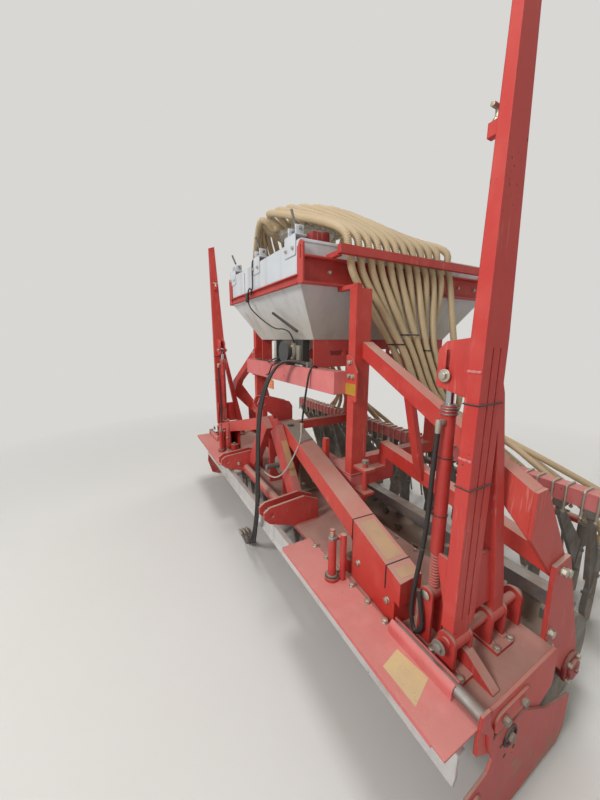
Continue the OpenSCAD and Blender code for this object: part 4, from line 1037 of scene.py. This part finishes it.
def weld_beads(name, seams, finish="red", body="frame"):
    """Fillets along seams, each a rippled bead from point to point."""
    radius, pitch, around = 0.0042, 0.0045, 7
    beads = []
    for start, end in seams:
        start, end = Vector(start), Vector(end)
        steps = max(6, int((end - start).length / pitch))
        path = [start.lerp(end, t / steps) for t in range(steps + 1)]
        bead = hose_mesh("bead", [path], radius, around, finish, None)
        for i, vertex in enumerate(bead.data.vertices):
            step = i // around
            middle = path[step]
            swell = 1.0 + 0.22 * math.sin(2.1 * step) + 0.10 * math.sin(5.3 * step + i)
            vertex.co = middle + (vertex.co - middle) * swell
        beads.append(bead)
    return pieces(name, finish, beads, body)


# Sizes that the small parts share with the part's source

# Trough, guards, brackets and side deflectors
ROTOR_Y = 0.505
ROTOR_PITCH = 0.295
HOLDER_END, HOLDER_Z = 0.134, 0.268
LID_TOP = 0.500
GUARD_TOP = 0.506
BRACKET_TOP = 0.512
DEFLECTOR_FACE = 1.4925
DEFLECTOR_BOLT = (0.600, 0.368)
PAD_FACE = 1.492
SPINDLE_X, SPINDLE_Y = 0.870, 0.800

# Main arms, hitch, gearbox and tower
ARM_YAW = math.radians(4.6)
ARM_START, ARM_Y, ARM_TOP = 0.115, 0.600, 0.985
ARM_END, ARM_END_TOP = 1.180, 0.690
ARM_SLOPE = (ARM_TOP - ARM_END_TOP) / (ARM_END - ARM_START)
CHEEK_X = (0.3725, 0.4385)
CHEEK_T = 0.014
GEARBOX_Z = 0.665
POST_FACE = 0.555
POST_IN, POST_OUT = 0.610, 0.660
LOW_BEAM_TOP = 0.830
MOTOR = Vector((-0.145, 0.593, 1.428))

# Markers and their cylinders
MARKER_X, MARKER_Z = 1.340, 0.600
MARKER_FACE = 1.3205
PIVOT_ENDS = ((0.7405, 1), (0.3205, -1))
CYL_X, CYL_Y = 1.245, 0.655
CYL_FOOT_Z = 0.680
EYE_X, EYE_Z = 1.240, 1.400

# Hopper
HOPPER_SIDE = 0.513
RIM_Y, RIM_Z = 0.755, 1.943
LATCH_X = (0.470, 0.020, -0.420)

# Roller, scrapers and the bars behind them
ROLLER_FACE = 1.446
AXLE_Y, AXLE_Z = 0.065, 0.240
SCRAPERS = 19
SCRAPER_FACE = 0.109
DRUM_END = 1.370
COULTER_BAR_Y = -0.380
TINE_BAR = (-0.830, 0.430)


def arm_point(side, along, across, lift=0.0):
    """A point on a main arm's top: along it from the middle, across it, and above it."""
    run = along - ARM_START
    x = ARM_START + run * math.cos(ARM_YAW) - across * math.sin(ARM_YAW)
    y = ARM_Y + run * math.sin(ARM_YAW) + across * math.cos(ARM_YAW)
    return Vector((side * x, y, ARM_TOP - ARM_SLOPE * run + lift))


def add_welds():
    """Beads on the hitch cheeks, the arms' roots, the posts, the markers and their brackets."""
    for side, name in SIDES:
        seams = []
        for cheek in CHEEK_X:
            for x in (cheek, cheek + CHEEK_T):
                seams.append(((side * x, 0.602, LID_TOP + 0.001), (side * x, 0.745, LID_TOP + 0.001)))
        for across in (-0.0525, 0.0525):
            seams.append((arm_point(side, 0.125, across), arm_point(side, 0.118, across, -0.090)))
        seams.append(((side * POST_IN, 0.5455, 1.246), (side * POST_IN, 0.5455, 1.346)))
        foot = [(side * x, y, LOW_BEAM_TOP) for x, y in ((POST_IN, 0.545), (POST_OUT, 0.545),
                                                         (POST_OUT, 0.455), (POST_IN, 0.455))]
        seams += zip(foot, foot[1:] + foot[:1])
        weld_beads("frame_welds_" + name, seams)
        seams = [((side * MARKER_FACE, y, low), (side * MARKER_FACE, y, high))
                 for y, low, high in ((0.634, 1.345, 1.505), (0.676, 1.345, 1.505),
                                      (0.701, 0.700, 0.860), (0.675, 1.966, 1.996))]
        weld_beads("marker_welds_" + name, seams, "red", "marker_" + name)
        seams = [((side * 1.300, y, BRACKET_TOP + 0.0005), (side * 1.380, y, BRACKET_TOP + 0.0005))
                 for y in (0.640, 0.690, 0.450, 0.500)]
        weld_beads("bracket_welds_" + name, seams)


def add_guard_parts():
    """Bolts on the guards, the brackets, the trough's lid and the side deflectors."""
    # The row on the lid has one bolt missing
    lid_bolts = (0, 1, 2, 4, 5, 6, 7, 8, 9, 10)
    for side, name in SIDES:
        bolt_set("guard_bolts_" + name,
                 [((side * (0.66 + 0.095 * n), 0.752, GUARD_TOP), UP) for n in range(6)], 0.020, 0.009)
        bolt_set("bracket_bolts_" + name,
                 [((side * x, y, BRACKET_TOP), UP)
                  for x in (1.290, 1.390) for y in (0.627, 0.703, 0.437, 0.513)], 0.018, 0.009)
        bolt_set("lid_bolts_" + name,
                 [((side * (0.09 + 0.118 * n), 0.345, LID_TOP), UP) for n in lid_bolts], 0.016, 0.008)
        bolt_set("pad_bolts_" + name,
                 [((side * PAD_FACE, y, 0.455), out_x(side)) for y in (0.545, 0.640)], 0.022, 0.010, "worn")
        # Black discs stand for the holes in the deflectors and a black ring for the slot round the bolt;
        # their dark is painted shade.
        pieces("deflector_holes_" + name, "black",
               [disc((side * DEFLECTOR_FACE, y, z), out_x(side), 0.007, 0.0012, 16, 0)
                for y, z in ((0.642, 0.360), (0.613, 0.300), (0.564, 0.297))])
        pieces("deflector_slot_ring_" + name, "black",
               [ring((side * (DEFLECTOR_FACE + 0.002), *DEFLECTOR_BOLT), out_x(side), 0.030, 0.0045)])
        bolt_set("deflector_bolt_" + name,
                 [((side * DEFLECTOR_FACE, *DEFLECTOR_BOLT), out_x(side))], 0.026, 0.010, "worn")


def add_labels():
    """The blank labels on the near side: the guard's, two on the arm, the strut's and the post's."""
    foil = 0.0007
    guard = [(x, y, GUARD_TOP)
             for x, y in ((-1.247, 0.869), (-1.229, 0.790), (-1.339, 0.775), (-1.372, 0.868))]
    pieces("label_guard", "label", [flat_plate(guard, UP, foil)])
    arm = []
    for start, end, half in ((0.925, 1.098, 0.036), (1.136, 1.172, 0.034)):
        spots = ((start, -half), (end, -half), (end, half), (start, half))
        arm.append(flat_plate([arm_point(-1, along, across, 0.0001) for along, across in spots], UP, foil))
    pieces("labels_arm", "strut_label", arm)
    high, low = Vector((-0.117, 0, 0.980)), Vector((-0.3725, 0, 0.625))
    face = Vector((-0.812, 0, 0.584))
    corners = [high.lerp(low, share) + face * 0.0002 + Vector((0, y, 0))
               for share, y in ((0.24, 0.665), (0.74, 0.665), (0.74, 0.702), (0.24, 0.702))]
    pieces("label_strut", "strut_label", [flat_plate(corners, face, foil)])
    post = [(x, POST_FACE + 0.0002, z)
            for x, z in ((-0.600, 1.240), (-0.685, 1.240), (-0.685, 1.295), (-0.600, 1.295))]
    pieces("label_post", "post_label", [flat_plate(post, FRONT, foil)])


def add_arm_parts():
    """Ties round the arms, the bolts of their feet, and the cap and patch on the near arm."""
    for side, name in SIDES:
        ties = []
        for along in (0.901, 1.114):
            corners = [arm_point(side, along, across, 0.0015) + Vector((0, 0, drop))
                       for across, drop in ((-0.0535, -0.093), (-0.0535, 0), (0.0535, 0), (0.0535, -0.093))]
            ties.append(hose_mesh("tie", [closed_path(corners, 4)], 0.0022, 6, "rubber", None, True))
        pieces("arm_ties_" + name, "rubber", ties)
        bolt_set("arm_foot_bolts_" + name,
                 [(arm_point(side, along, 0.052) + Vector((0, 0, drop)), FRONT)
                  for along, drop in ((0.95, -0.155), (1.13, -0.125))], 0.020, 0.009)
    pieces("arm_cap", "black", [disc(arm_point(-1, 0.150, 0.02), UP, 0.020, 0.006)])
    patch = [arm_point(-1, along, across, 0.0004)
             for along, across in ((0.115, -0.05), (0.325, -0.05), (0.325, 0.05), (0.115, 0.05))]
    pieces("arm_patch", "steel_grey", [flat_plate(patch, UP, 0.001)])


def add_adjuster_parts():
    """Thread, collars and a wavy spring clip on the levelling bar's screws."""
    reach, level, wave = 0.026, 0.5235, 0.008
    for side, name in SIDES:
        x = side * SPINDLE_X
        pieces("spindle_thread_" + name, "zinc",
               [disc((x, SPINDLE_Y, 0.700 + 0.006 * n), UP, 0.0115, 0.003, 16, 0) for n in range(5)])
        pieces("spindle_collar_" + name, "steel",
               [disc((x, SPINDLE_Y, 0.520), UP, 0.024, 0.010),
                disc((x, SPINDLE_Y, 0.690), UP, 0.020, 0.014, 6)])
        loop = [Vector((x + side * reach * right, SPINDLE_Y + reach * ahead, level + wave * right * ahead))
                for right, ahead in round_points(36)]
        hose_mesh("spindle_clip_" + name, [loop], 0.0035, 10, "black", "frame", True)
        bolt_set("dome_bolt_" + name, [((side * 0.860, 0.683, 0.560), UP)], 0.024, 0.012, "worn")


# The hose of a marker's cylinder: how far out from the barrel, how far before it, and its height
FEED_RADIUS = 0.0075
FEED_UPPER = (
    (0.000, 0.044, 1.236),
    (-0.001, 0.045, 1.200),
    (-0.006, 0.043, 1.120),
    (-0.010, 0.041, 1.020),
    (-0.014, 0.040, 0.920),
    (-0.020, 0.041, 0.840),
)
FEED_LOOP = (
    (-0.020, 0.041, 0.840),
    (-0.026, 0.043, 0.780),
    (-0.034, 0.046, 0.700),
    (-0.038, 0.050, 0.620),
    (-0.030, 0.052, 0.560),
    (-0.012, 0.053, 0.534),
    (0.006, 0.052, 0.560),
    (0.006, 0.050, 0.590),
    (-0.004, 0.049, 0.640),
    (-0.018, 0.046, 0.690),
)


def add_marker_parts():
    """Pins, straps and seams on the markers' arms, and the fittings and hoses of their cylinders."""
    for side, name in SIDES:
        marker = "marker_" + name
        barrel = "cylinder_" + name
        tip_x, tip_y, tip_z = side * 1.305, 0.671, 1.997
        pieces("tip_pin_" + name, "zinc",
               [disc((tip_x, tip_y, tip_z), UP, 0.006, 0.030, 12),
                disc((tip_x, tip_y - 0.024, tip_z + 0.030), FRONT, 0.006, 0.048, 12),
                disc((tip_x, tip_y, tip_z), UP, 0.011, 0.008, 6)], marker)
        straps = []
        for z in (1.335, 1.102):
            corners = [Vector((side * x, y, z))
                       for x, y in ((1.3185, 0.7115), (1.3615, 0.7115), (1.3615, 0.6085), (1.3185, 0.6085))]
            straps.append(hose_mesh("strap", [closed_path(corners, 5)], 0.0024, 6, "black", None, True))
        pieces("marker_straps_" + name, "black", straps, marker)
        seams = [((side * 1.3215, 0.7105, z), (side * 1.3585, 0.7105, z)) for z in (1.420, 1.184)]
        # The seams take the pink paint, lighter in part as painted light.
        weld_beads("marker_seams_" + name, seams, "pink", marker)
        washers = []
        for way in WAYS:
            face = CYL_Y + way * 0.0345
            washers.append(disc((side * EYE_X, face, EYE_Z), (0, way, 0), 0.019, 0.003))
            washers.append(disc((side * EYE_X, face + way * 0.003, EYE_Z), (0, way, 0), 0.012, 0.010, 6))
        pieces("eye_pin_" + name, "zinc", washers, marker)
        ends = []
        for y, way in PIVOT_ENDS:
            ends.append(disc((side * MARKER_X, y, MARKER_Z), (0, way, 0), 0.022, 0.004))
            ends.append(disc((side * MARKER_X, y + way * 0.004, MARKER_Z), (0, way, 0), 0.013, 0.010, 6))
        pieces("pivot_nuts_" + name, "worn", ends)
        pieces("foot_pin_ends_" + name, "zinc",
               [disc((side * CYL_X, CYL_Y + way * 0.038, CYL_FOOT_Z), (0, way, 0), 0.016, 0.003)
                for way in WAYS])
        x = side * (CYL_X - 0.003)
        gland = [ring((x, CYL_Y, z), UP, 0.0235, 0.0022) for z in (1.286, 1.296, 1.304)]
        pieces("gland_" + name, "steel", gland + [disc((x, CYL_Y, 1.305), UP, 0.019, 0.010)], barrel)
        pieces("port_" + name, "zinc",
               [disc((x, CYL_Y + 0.018, 1.262), FRONT, 0.011, 0.020, 6),
                disc((x, CYL_Y + 0.036, 1.262), FRONT, 0.008, 0.012),
                disc((x, CYL_Y + 0.044, 1.271), DOWN, 0.0095, 0.040, 6)], barrel)
        upper = [(x + side * out, CYL_Y + y, z) for out, y, z in FEED_UPPER]
        loop = [(x + side * out, CYL_Y + y, z) for out, y, z in FEED_LOOP]
        cable("feed_upper_" + name, [upper], FEED_RADIUS, "rubber", barrel)
        pieces("barrel_ties_" + name, "black",
               [ring((x, CYL_Y, z), UP, 0.0225, 0.0018) for z in (1.150, 0.960)], barrel)
        lower = cable("feed_loop_" + name, [loop], FEED_RADIUS, "rubber", None)
        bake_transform(lower)


def add_tower_parts():
    """Bolts of the posts and trusses, the roller's bearing caps, and the nuts of the hitch."""
    for side, name in SIDES:
        outward = out_x(side)
        bolt_set("post_bolts_" + name,
                 [((side * x, POST_FACE, z), FRONT)
                  for x, z in ((0.640, 1.395), (0.665, 1.330), (0.635, 1.330))], 0.020, 0.010)
        bolt_set("truss_bolts_" + name,
                 [((side * ROLLER_FACE, y, z), outward)
                  for y, z in ((0.285, 0.752), (0.250, 0.735), (0.300, 0.520), (0.300, 0.470))],
                 0.026, 0.012)
        cap_face = ROLLER_FACE + 0.012
        # The bearing caps take the red that is darkened as painted shade.
        pieces("bearing_cap_" + name, "deep",
               [disc((side * ROLLER_FACE, AXLE_Y, AXLE_Z), outward, 0.062, 0.012),
                disc((side * cap_face, AXLE_Y, AXLE_Z), outward, 0.040, 0.012),
                disc((side * (cap_face + 0.012), AXLE_Y, AXLE_Z), outward, 0.008, 0.008, 12)])
        bolt_set("bearing_bolts_" + name,
                 [((side * cap_face, AXLE_Y + 0.051 * ahead, AXLE_Z + 0.051 * up), outward)
                  for ahead, up in round_points(4, 45)], 0.017, 0.008)
        bolt_set("clevis_nuts_" + name, [((side * 0.712, 0.500, 0.905), UP)], 0.030, 0.014, "worn")
        bolt_set("hitch_plate_bolts_" + name,
                 [((side * CHEEK_X[0], 0.800, 0.570), out_x(-side))], 0.020, 0.010)


def add_hopper_parts():
    """Rim, latches, seam and bolts of the hopper, and the cable that hangs down its front."""
    for side, name in SIDES:
        pieces("rim_side_" + name, "sheet",
               [slab((side * (HOPPER_SIDE - 0.008), -0.600, RIM_Z - 0.012),
                     (side * HOPPER_SIDE, 0.750, RIM_Z + 0.002), 0.001)])
    plates, pins, blocks = [], [], []
    for x in LATCH_X:
        plates += [
            slab((x - 0.055, RIM_Y + 0.0005, RIM_Z - 0.062), (x + 0.055, RIM_Y + 0.006, RIM_Z + 0.030)),
            slab((x - 0.055, RIM_Y - 0.060, RIM_Z + 0.026), (x + 0.055, RIM_Y + 0.006, RIM_Z + 0.032)),
            slab((x - 0.040, RIM_Y - 0.050, RIM_Z + 0.030), (x - 0.032, RIM_Y - 0.005, RIM_Z + 0.075)),
            slab((x + 0.032, RIM_Y - 0.050, RIM_Z + 0.030), (x + 0.040, RIM_Y - 0.005, RIM_Z + 0.075)),
        ]
        pins += [
            disc((x - 0.050, RIM_Y - 0.028, RIM_Z + 0.060), out_x(1), 0.0075, 0.100, 16),
            disc((x - 0.008, RIM_Y - 0.028, RIM_Z + 0.060), (-0.35, 0.5, 0.8), 0.006, 0.090, 16),
        ]
        blocks += [
            slab((x - 0.075, RIM_Y - 0.170, RIM_Z), (x + 0.075, RIM_Y - 0.075, RIM_Z + 0.048), 0.004),
            slab((x - 0.012, RIM_Y - 0.210, RIM_Z + 0.001),
                 (x + 0.012, RIM_Y - 0.168, RIM_Z + 0.075), 0.003),
        ]
    pieces("latch_plates", "sheet", plates)
    pieces("latch_pins", "steel", pins)
    # The latch blocks take the red that is darkened as painted shade.
    pieces("latch_blocks", "deep", blocks)
    bolt_set("latch_bolts",
             [((x + off, RIM_Y + 0.006, RIM_Z - 0.030), FRONT) for x in LATCH_X for off in (-0.035, 0.035)],
             0.014, 0.007)
    bolt_set("deck_bolts",
             [((x, 0.735, RIM_Z), UP) for x in (-0.30, -0.18, 0.14, 0.26, 0.36)], 0.014, 0.006)
    pieces("panel_seam", "dark", [slab((0.233, RIM_Y, 1.760), (0.237, RIM_Y + 0.0015, 1.925), 0.0005)])
    wire = [(0.053, 0.735, 1.975), (0.056, 0.764, 1.962), (0.060, 0.768, 1.900), (0.066, 0.766, 1.840),
            (0.068, 0.768, 1.802), (0.088, 0.772, 1.786), (0.074, 0.776, 1.770), (0.052, 0.779, 1.785),
            (0.064, 0.783, 1.806), (0.090, 0.786, 1.790), (0.103, 0.786, 1.744), (0.090, 0.770, 1.690),
            (0.050, 0.730, 1.635), (0.000, 0.690, 1.590), (-0.060, 0.668, 1.566), (-0.125, 0.655, 1.562),
            (-0.170, 0.640, 1.545), (-0.185, 0.625, 1.510), (-0.180, 0.610, 1.485)]
    cable("hopper_cable", [wire], 0.0042, "black")
    pieces("cable_plug", "black", [disc((0.105, 0.786, 1.728), (0.1, 0.0, 1.0), 0.011, 0.048, 16)])
    low = Vector((-0.300, 0.655, 1.545))
    reach = Vector((-0.135, 0.725, 1.650)) - low
    pieces("level_rod", "black", [disc(low, reach.normalized(), 0.008, reach.length, 14)])
    bolt_set("channel_bolts",
             [((side * 0.516, -0.52 + 0.160 * n, 1.812), out_x(side)) for side in WAYS for n in range(8)],
             0.016, 0.008)


def add_lid_parts():
    """The lid's handle with its bolts, and its ribs."""
    lid = "hopper_lid"
    handle = [(-0.11, -0.200, 2.004), (-0.11, -0.200, 2.030), (-0.09, -0.200, 2.042), (0.09, -0.200, 2.042),
              (0.11, -0.200, 2.030), (0.11, -0.200, 2.004)]
    cable("lid_handle", [handle], 0.008, "black", lid)
    bolt_set("lid_handle_bolts", [((x, -0.215, 2.0035), UP) for x in (-0.14, 0.14)], 0.014, 0.006, body=lid)
    pieces("lid_ribs", "cover",
           [slab((x - 0.012, -0.600, 2.0025), (x + 0.012, -0.230, 2.0085), 0.003)
            for x in (-0.16, -0.05, 0.05, 0.16)], lid)


def add_distributor_parts():
    """Collars and clamps at the outlets, the head's cap and bolts, and the riser's bands."""
    collars, clamps = [], []
    for side in WAYS:
        for i in range(HOSES_A_SIDE):
            away = outlet_way(i, side)
            clamps.append((HEAD + (HEAD_EDGE + 0.019) * away, away))
            collars.append(disc(HEAD + (HEAD_EDGE - 0.001) * away, away, 0.0215, 0.012, 18, 0.001))
    pieces("outlet_collars", "pale", collars)
    repeated(hose_clamp(CLAMP_RADIUS), "outlet_clamps", clamps, "zinc")
    pieces("head_cap", "cover",
           [disc(HEAD + Vector((0, 0, 0.050)), UP, 0.080, 0.014, 40),
            disc(HEAD + Vector((0, 0, 0.064)), UP, 0.020, 0.016, 6)])
    bolt_set("head_bolts",
             [(HEAD + Vector((0.140 * right, 0.140 * ahead, 0.031)), UP)
              for right, ahead in round_points(12, 15)], 0.014, 0.007)
    pieces("riser_bands", "steel",
           [ring(HEAD + Vector((0, 0, -0.075 - 0.06 * k)), UP, 0.0565, 0.003, 32) for k in range(3)])


def add_metering_parts():
    """The metering unit's motor with its bolts, and the small plates beside it."""
    pieces("drive_motor", "cast",
           [disc(MOTOR, FRONT, 0.055, 0.030, 32, 0.004),
            disc(MOTOR + Vector((0, 0.030, 0)), FRONT, 0.038, 0.022, 28, 0.003),
            ring(MOTOR + Vector((0, 0.033, 0)), FRONT, 0.047, 0.003, 32),
            slab(MOTOR + Vector((-0.006, 0.028, -0.052)), MOTOR + Vector((0.006, 0.044, 0.052))),
            slab(MOTOR + Vector((-0.095, -0.003, -0.055)), MOTOR + Vector((-0.060, 0.020, 0.040)), 0.004)])
    bolt_set("motor_bolts",
             [(MOTOR + Vector((0.047 * right, 0.030, 0.047 * up)), FRONT)
              for right, up in round_points(4, 45)], 0.012, 0.006)
    pieces("metering_panel", "white", [slab((0.022, 0.594, 1.372), (0.054, 0.650, 1.494), 0.004)])
    pieces("beam_cap", "white", [slab((-0.285, 0.596, 1.351), (-0.205, 0.622, 1.364), 0.005)])
    pieces("reflector_bracket", "zinc", [slab((0.108, 0.6253, 1.180), (0.152, 0.628, 1.280), 0.001)])
    pieces("orange_reflector", "lens", [slab((0.080, 0.6282, 1.172), (0.180, 0.636, 1.232), 0.003)])


def add_loose_lines():
    """Thin lines that hang over the tower's beam, the longest with a bright fitting."""
    high = [(-0.395, 0.585, 1.352), (-0.398, 0.610, 1.362), (-0.400, 0.636, 1.330), (-0.392, 0.650, 1.240),
            (-0.372, 0.655, 1.130), (-0.352, 0.655, 1.040)]
    low = [(-0.348, 0.655, 0.985), (-0.338, 0.664, 0.920), (-0.310, 0.700, 0.815), (-0.275, 0.735, 0.735),
           (-0.230, 0.762, 0.695), (-0.180, 0.782, 0.690), (-0.132, 0.802, 0.706), (-0.108, 0.822, 0.736)]
    cable("thin_line", [high], 0.0055, "black")
    cable("thin_line_low", [low], 0.0045, "cover")
    start = Vector(high[-1])
    along = (Vector(low[0]) - start).normalized()
    pieces("line_fitting", "zinc",
           [disc(start - along * 0.004, along, 0.0105, 0.022, 6),
            disc(start + along * 0.016, along, 0.0085, 0.026, 16),
            disc(start + along * 0.040, along, 0.0100, 0.016, 6)])
    wires = [
        [(-0.150, 0.600, 1.385), (-0.100, 0.640, 1.372), (-0.020, 0.662, 1.352), (0.060, 0.652, 1.330),
         (0.110, 0.640, 1.300), (0.150, 0.636, 1.270), (0.190, 0.636, 1.262)],
        [(-0.060, 0.620, 1.400), (0.000, 0.660, 1.380), (0.070, 0.662, 1.360), (0.140, 0.640, 1.352),
         (0.240, 0.600, 1.356), (0.360, 0.590, 1.354), (0.480, 0.590, 1.354)],
    ]
    cable("metering_wires", wires, 0.0045, "black")


def add_gearbox_parts():
    """Bolts, flange and plugs of the gearbox."""
    bolts = [((0.072 * right, 0.565, GEARBOX_Z + 0.072 * up), FRONT) for right, up in round_points(6, 30)]
    bolts += [((side * 0.1400, y, 0.560), out_x(side)) for side in WAYS for y in (0.385, 0.455, 0.525)]
    bolt_set("gearbox_bolts", bolts, 0.018, 0.009)
    pieces("gearbox_flange", "cast",
           [slab((-0.165, 0.345, LID_TOP), (0.165, 0.560, LID_TOP + 0.016), 0.003)])
    aslant = (1, 0, 0.9)
    pieces("gearbox_plugs", "zinc",
           [disc((0.105, 0.470, 0.680), aslant, 0.016, 0.012, 6),
            disc((0.108, 0.430, 0.700), aslant, 0.010, 0.020, 12)])


def add_coulter_parts():
    """Clamps, rims, u-bolts and bolts of the coulters, and the coils of the following tines."""
    rims, clamps, bolts, coils, straps = [], [], [], [], []
    for side in WAYS:
        for k in range(HOSES_A_SIDE):
            out, row = coulter_place(k)
            x = side * out
            clamps.append(((x, row, BOOT_Z + 0.014), UP))
            rims.append(ring((x, row, BOOT_Z - 0.010), UP, 0.0252, 0.0030, 18, 6))
            straps += [((x + off, COULTER_BAR_Y, 0), UP) for off in (-0.028, 0.028)]
            coils.append(((x, *TINE_BAR), out_x(1)))
            for half, y, z in ((0.008, COULTER_BAR_Y - 0.010, 0.655), (0.013, row + 0.006, 0.300),
                               (0.013, row + 0.040, 0.190)):
                bolts.append(((side * (out - half), y, z), out_x(-side)))
                bolts.append(((side * (out + half), y, z), out_x(side)))
    bolt_set("coulter_bolts", bolts, 0.017, 0.008, "worn")
    repeated(hose_clamp(CLAMP_RADIUS), "boot_clamps", clamps, "zinc")
    pieces("boot_rims", "steel", rims)
    saddle = u_bolt(reach=0.0456, low=0.664, top=0.8056, radius=0.0055)
    repeated(saddle, "coulter_u_bolts", straps, "zinc", spin=0)
    coil = spring_coil(radius=0.0313, wire=0.0055, pitch=0.0125, turns=3)
    repeated(coil, "tine_coils", coils, "steel")


def add_scraper_parts():
    """Two bolts on each scraper."""
    gap = 2 * DRUM_END / SCRAPERS
    bolt_set("scraper_bolts",
             [((-DRUM_END + (i + 0.5) * gap + off, SCRAPER_FACE, 0.550), BACK)
              for i in range(SCRAPERS) for off in (-0.020, 0.020)], 0.016, 0.008)


def add_rotor_parts():
    """Bolts on the rotors' tine holders. Every second rotor stands a quarter turn on."""
    for number in range(1, ROTORS + 1):
        quarter = Matrix.Rotation(math.pi / 2 if number % 2 == 0 else 0, 3, "Z")
        centre = Vector(((number - (ROTORS + 1) / 2) * ROTOR_PITCH, ROTOR_Y, 0))
        spots = []
        for way in WAYS:
            for across in (-0.016, 0.016):
                place = centre + quarter @ Vector((way * HOLDER_END, across, HOLDER_Z))
                spots.append((place, quarter @ Vector((way, 0, 0))))
        bolt_set("tine_bolts_%d" % number, spots, 0.018, 0.009, "worn", "rotor_%d" % number)


def strap_round(side, level, first, last):
    """A closed strap that lies tight round some of one side's hoses at one level."""
    reach = HOSE_RADIUS + 0.0032
    dots = []
    for i in range(first, last + 1):
        route = smooth_path(hose_route(i), HOSE_STEPS)
        high, low = next((a, b) for a, b in zip(route, route[1:]) if a.z >= level > b.z)
        spot = high.lerp(low, (high.z - level) / (high.z - low.z))
        dots += [(spot.x + reach * right, spot.y + reach * ahead) for right, ahead in round_points(16)]
    # The outline round the dots: one half walked from each end
    halves = []
    for run in (sorted(dots), sorted(dots, reverse=True)):
        half = []
        for x, y in run:
            while len(half) > 1 and ((half[-1][0] - half[-2][0]) * (y - half[-2][1])
                                     <= (half[-1][1] - half[-2][1]) * (x - half[-2][0])):
                half.pop()
            half.append((x, y))
        halves += half[:-1]
    return [Vector((-side * x, y, level)) for x, y in halves]


def add_hose_ties():
    """Straps that draw the seed hoses together, the same on both sides: height, first and last hose."""
    spots = ((1.475, 0, 2), (1.525, 3, 5), (1.440, 7, 8), (1.140, 0, 3), (1.125, 4, 7))
    for side, name in SIDES:
        pieces("hose_straps_" + name, "black",
               [hose_mesh("tie", [strap_round(side, *spot)], 0.0036, 6, "black", None, True)
                for spot in spots])


add_camera()
add_studio()
add_floor()
add_oil_hoses()
add_seed_hoses()
dress_nodes()
add_welds()
add_guard_parts()
add_labels()
add_arm_parts()
add_adjuster_parts()
add_marker_parts()
add_tower_parts()
add_hopper_parts()
add_lid_parts()
add_distributor_parts()
add_metering_parts()
add_loose_lines()
add_gearbox_parts()
add_coulter_parts()
add_scraper_parts()
add_rotor_parts()
add_hose_ties()
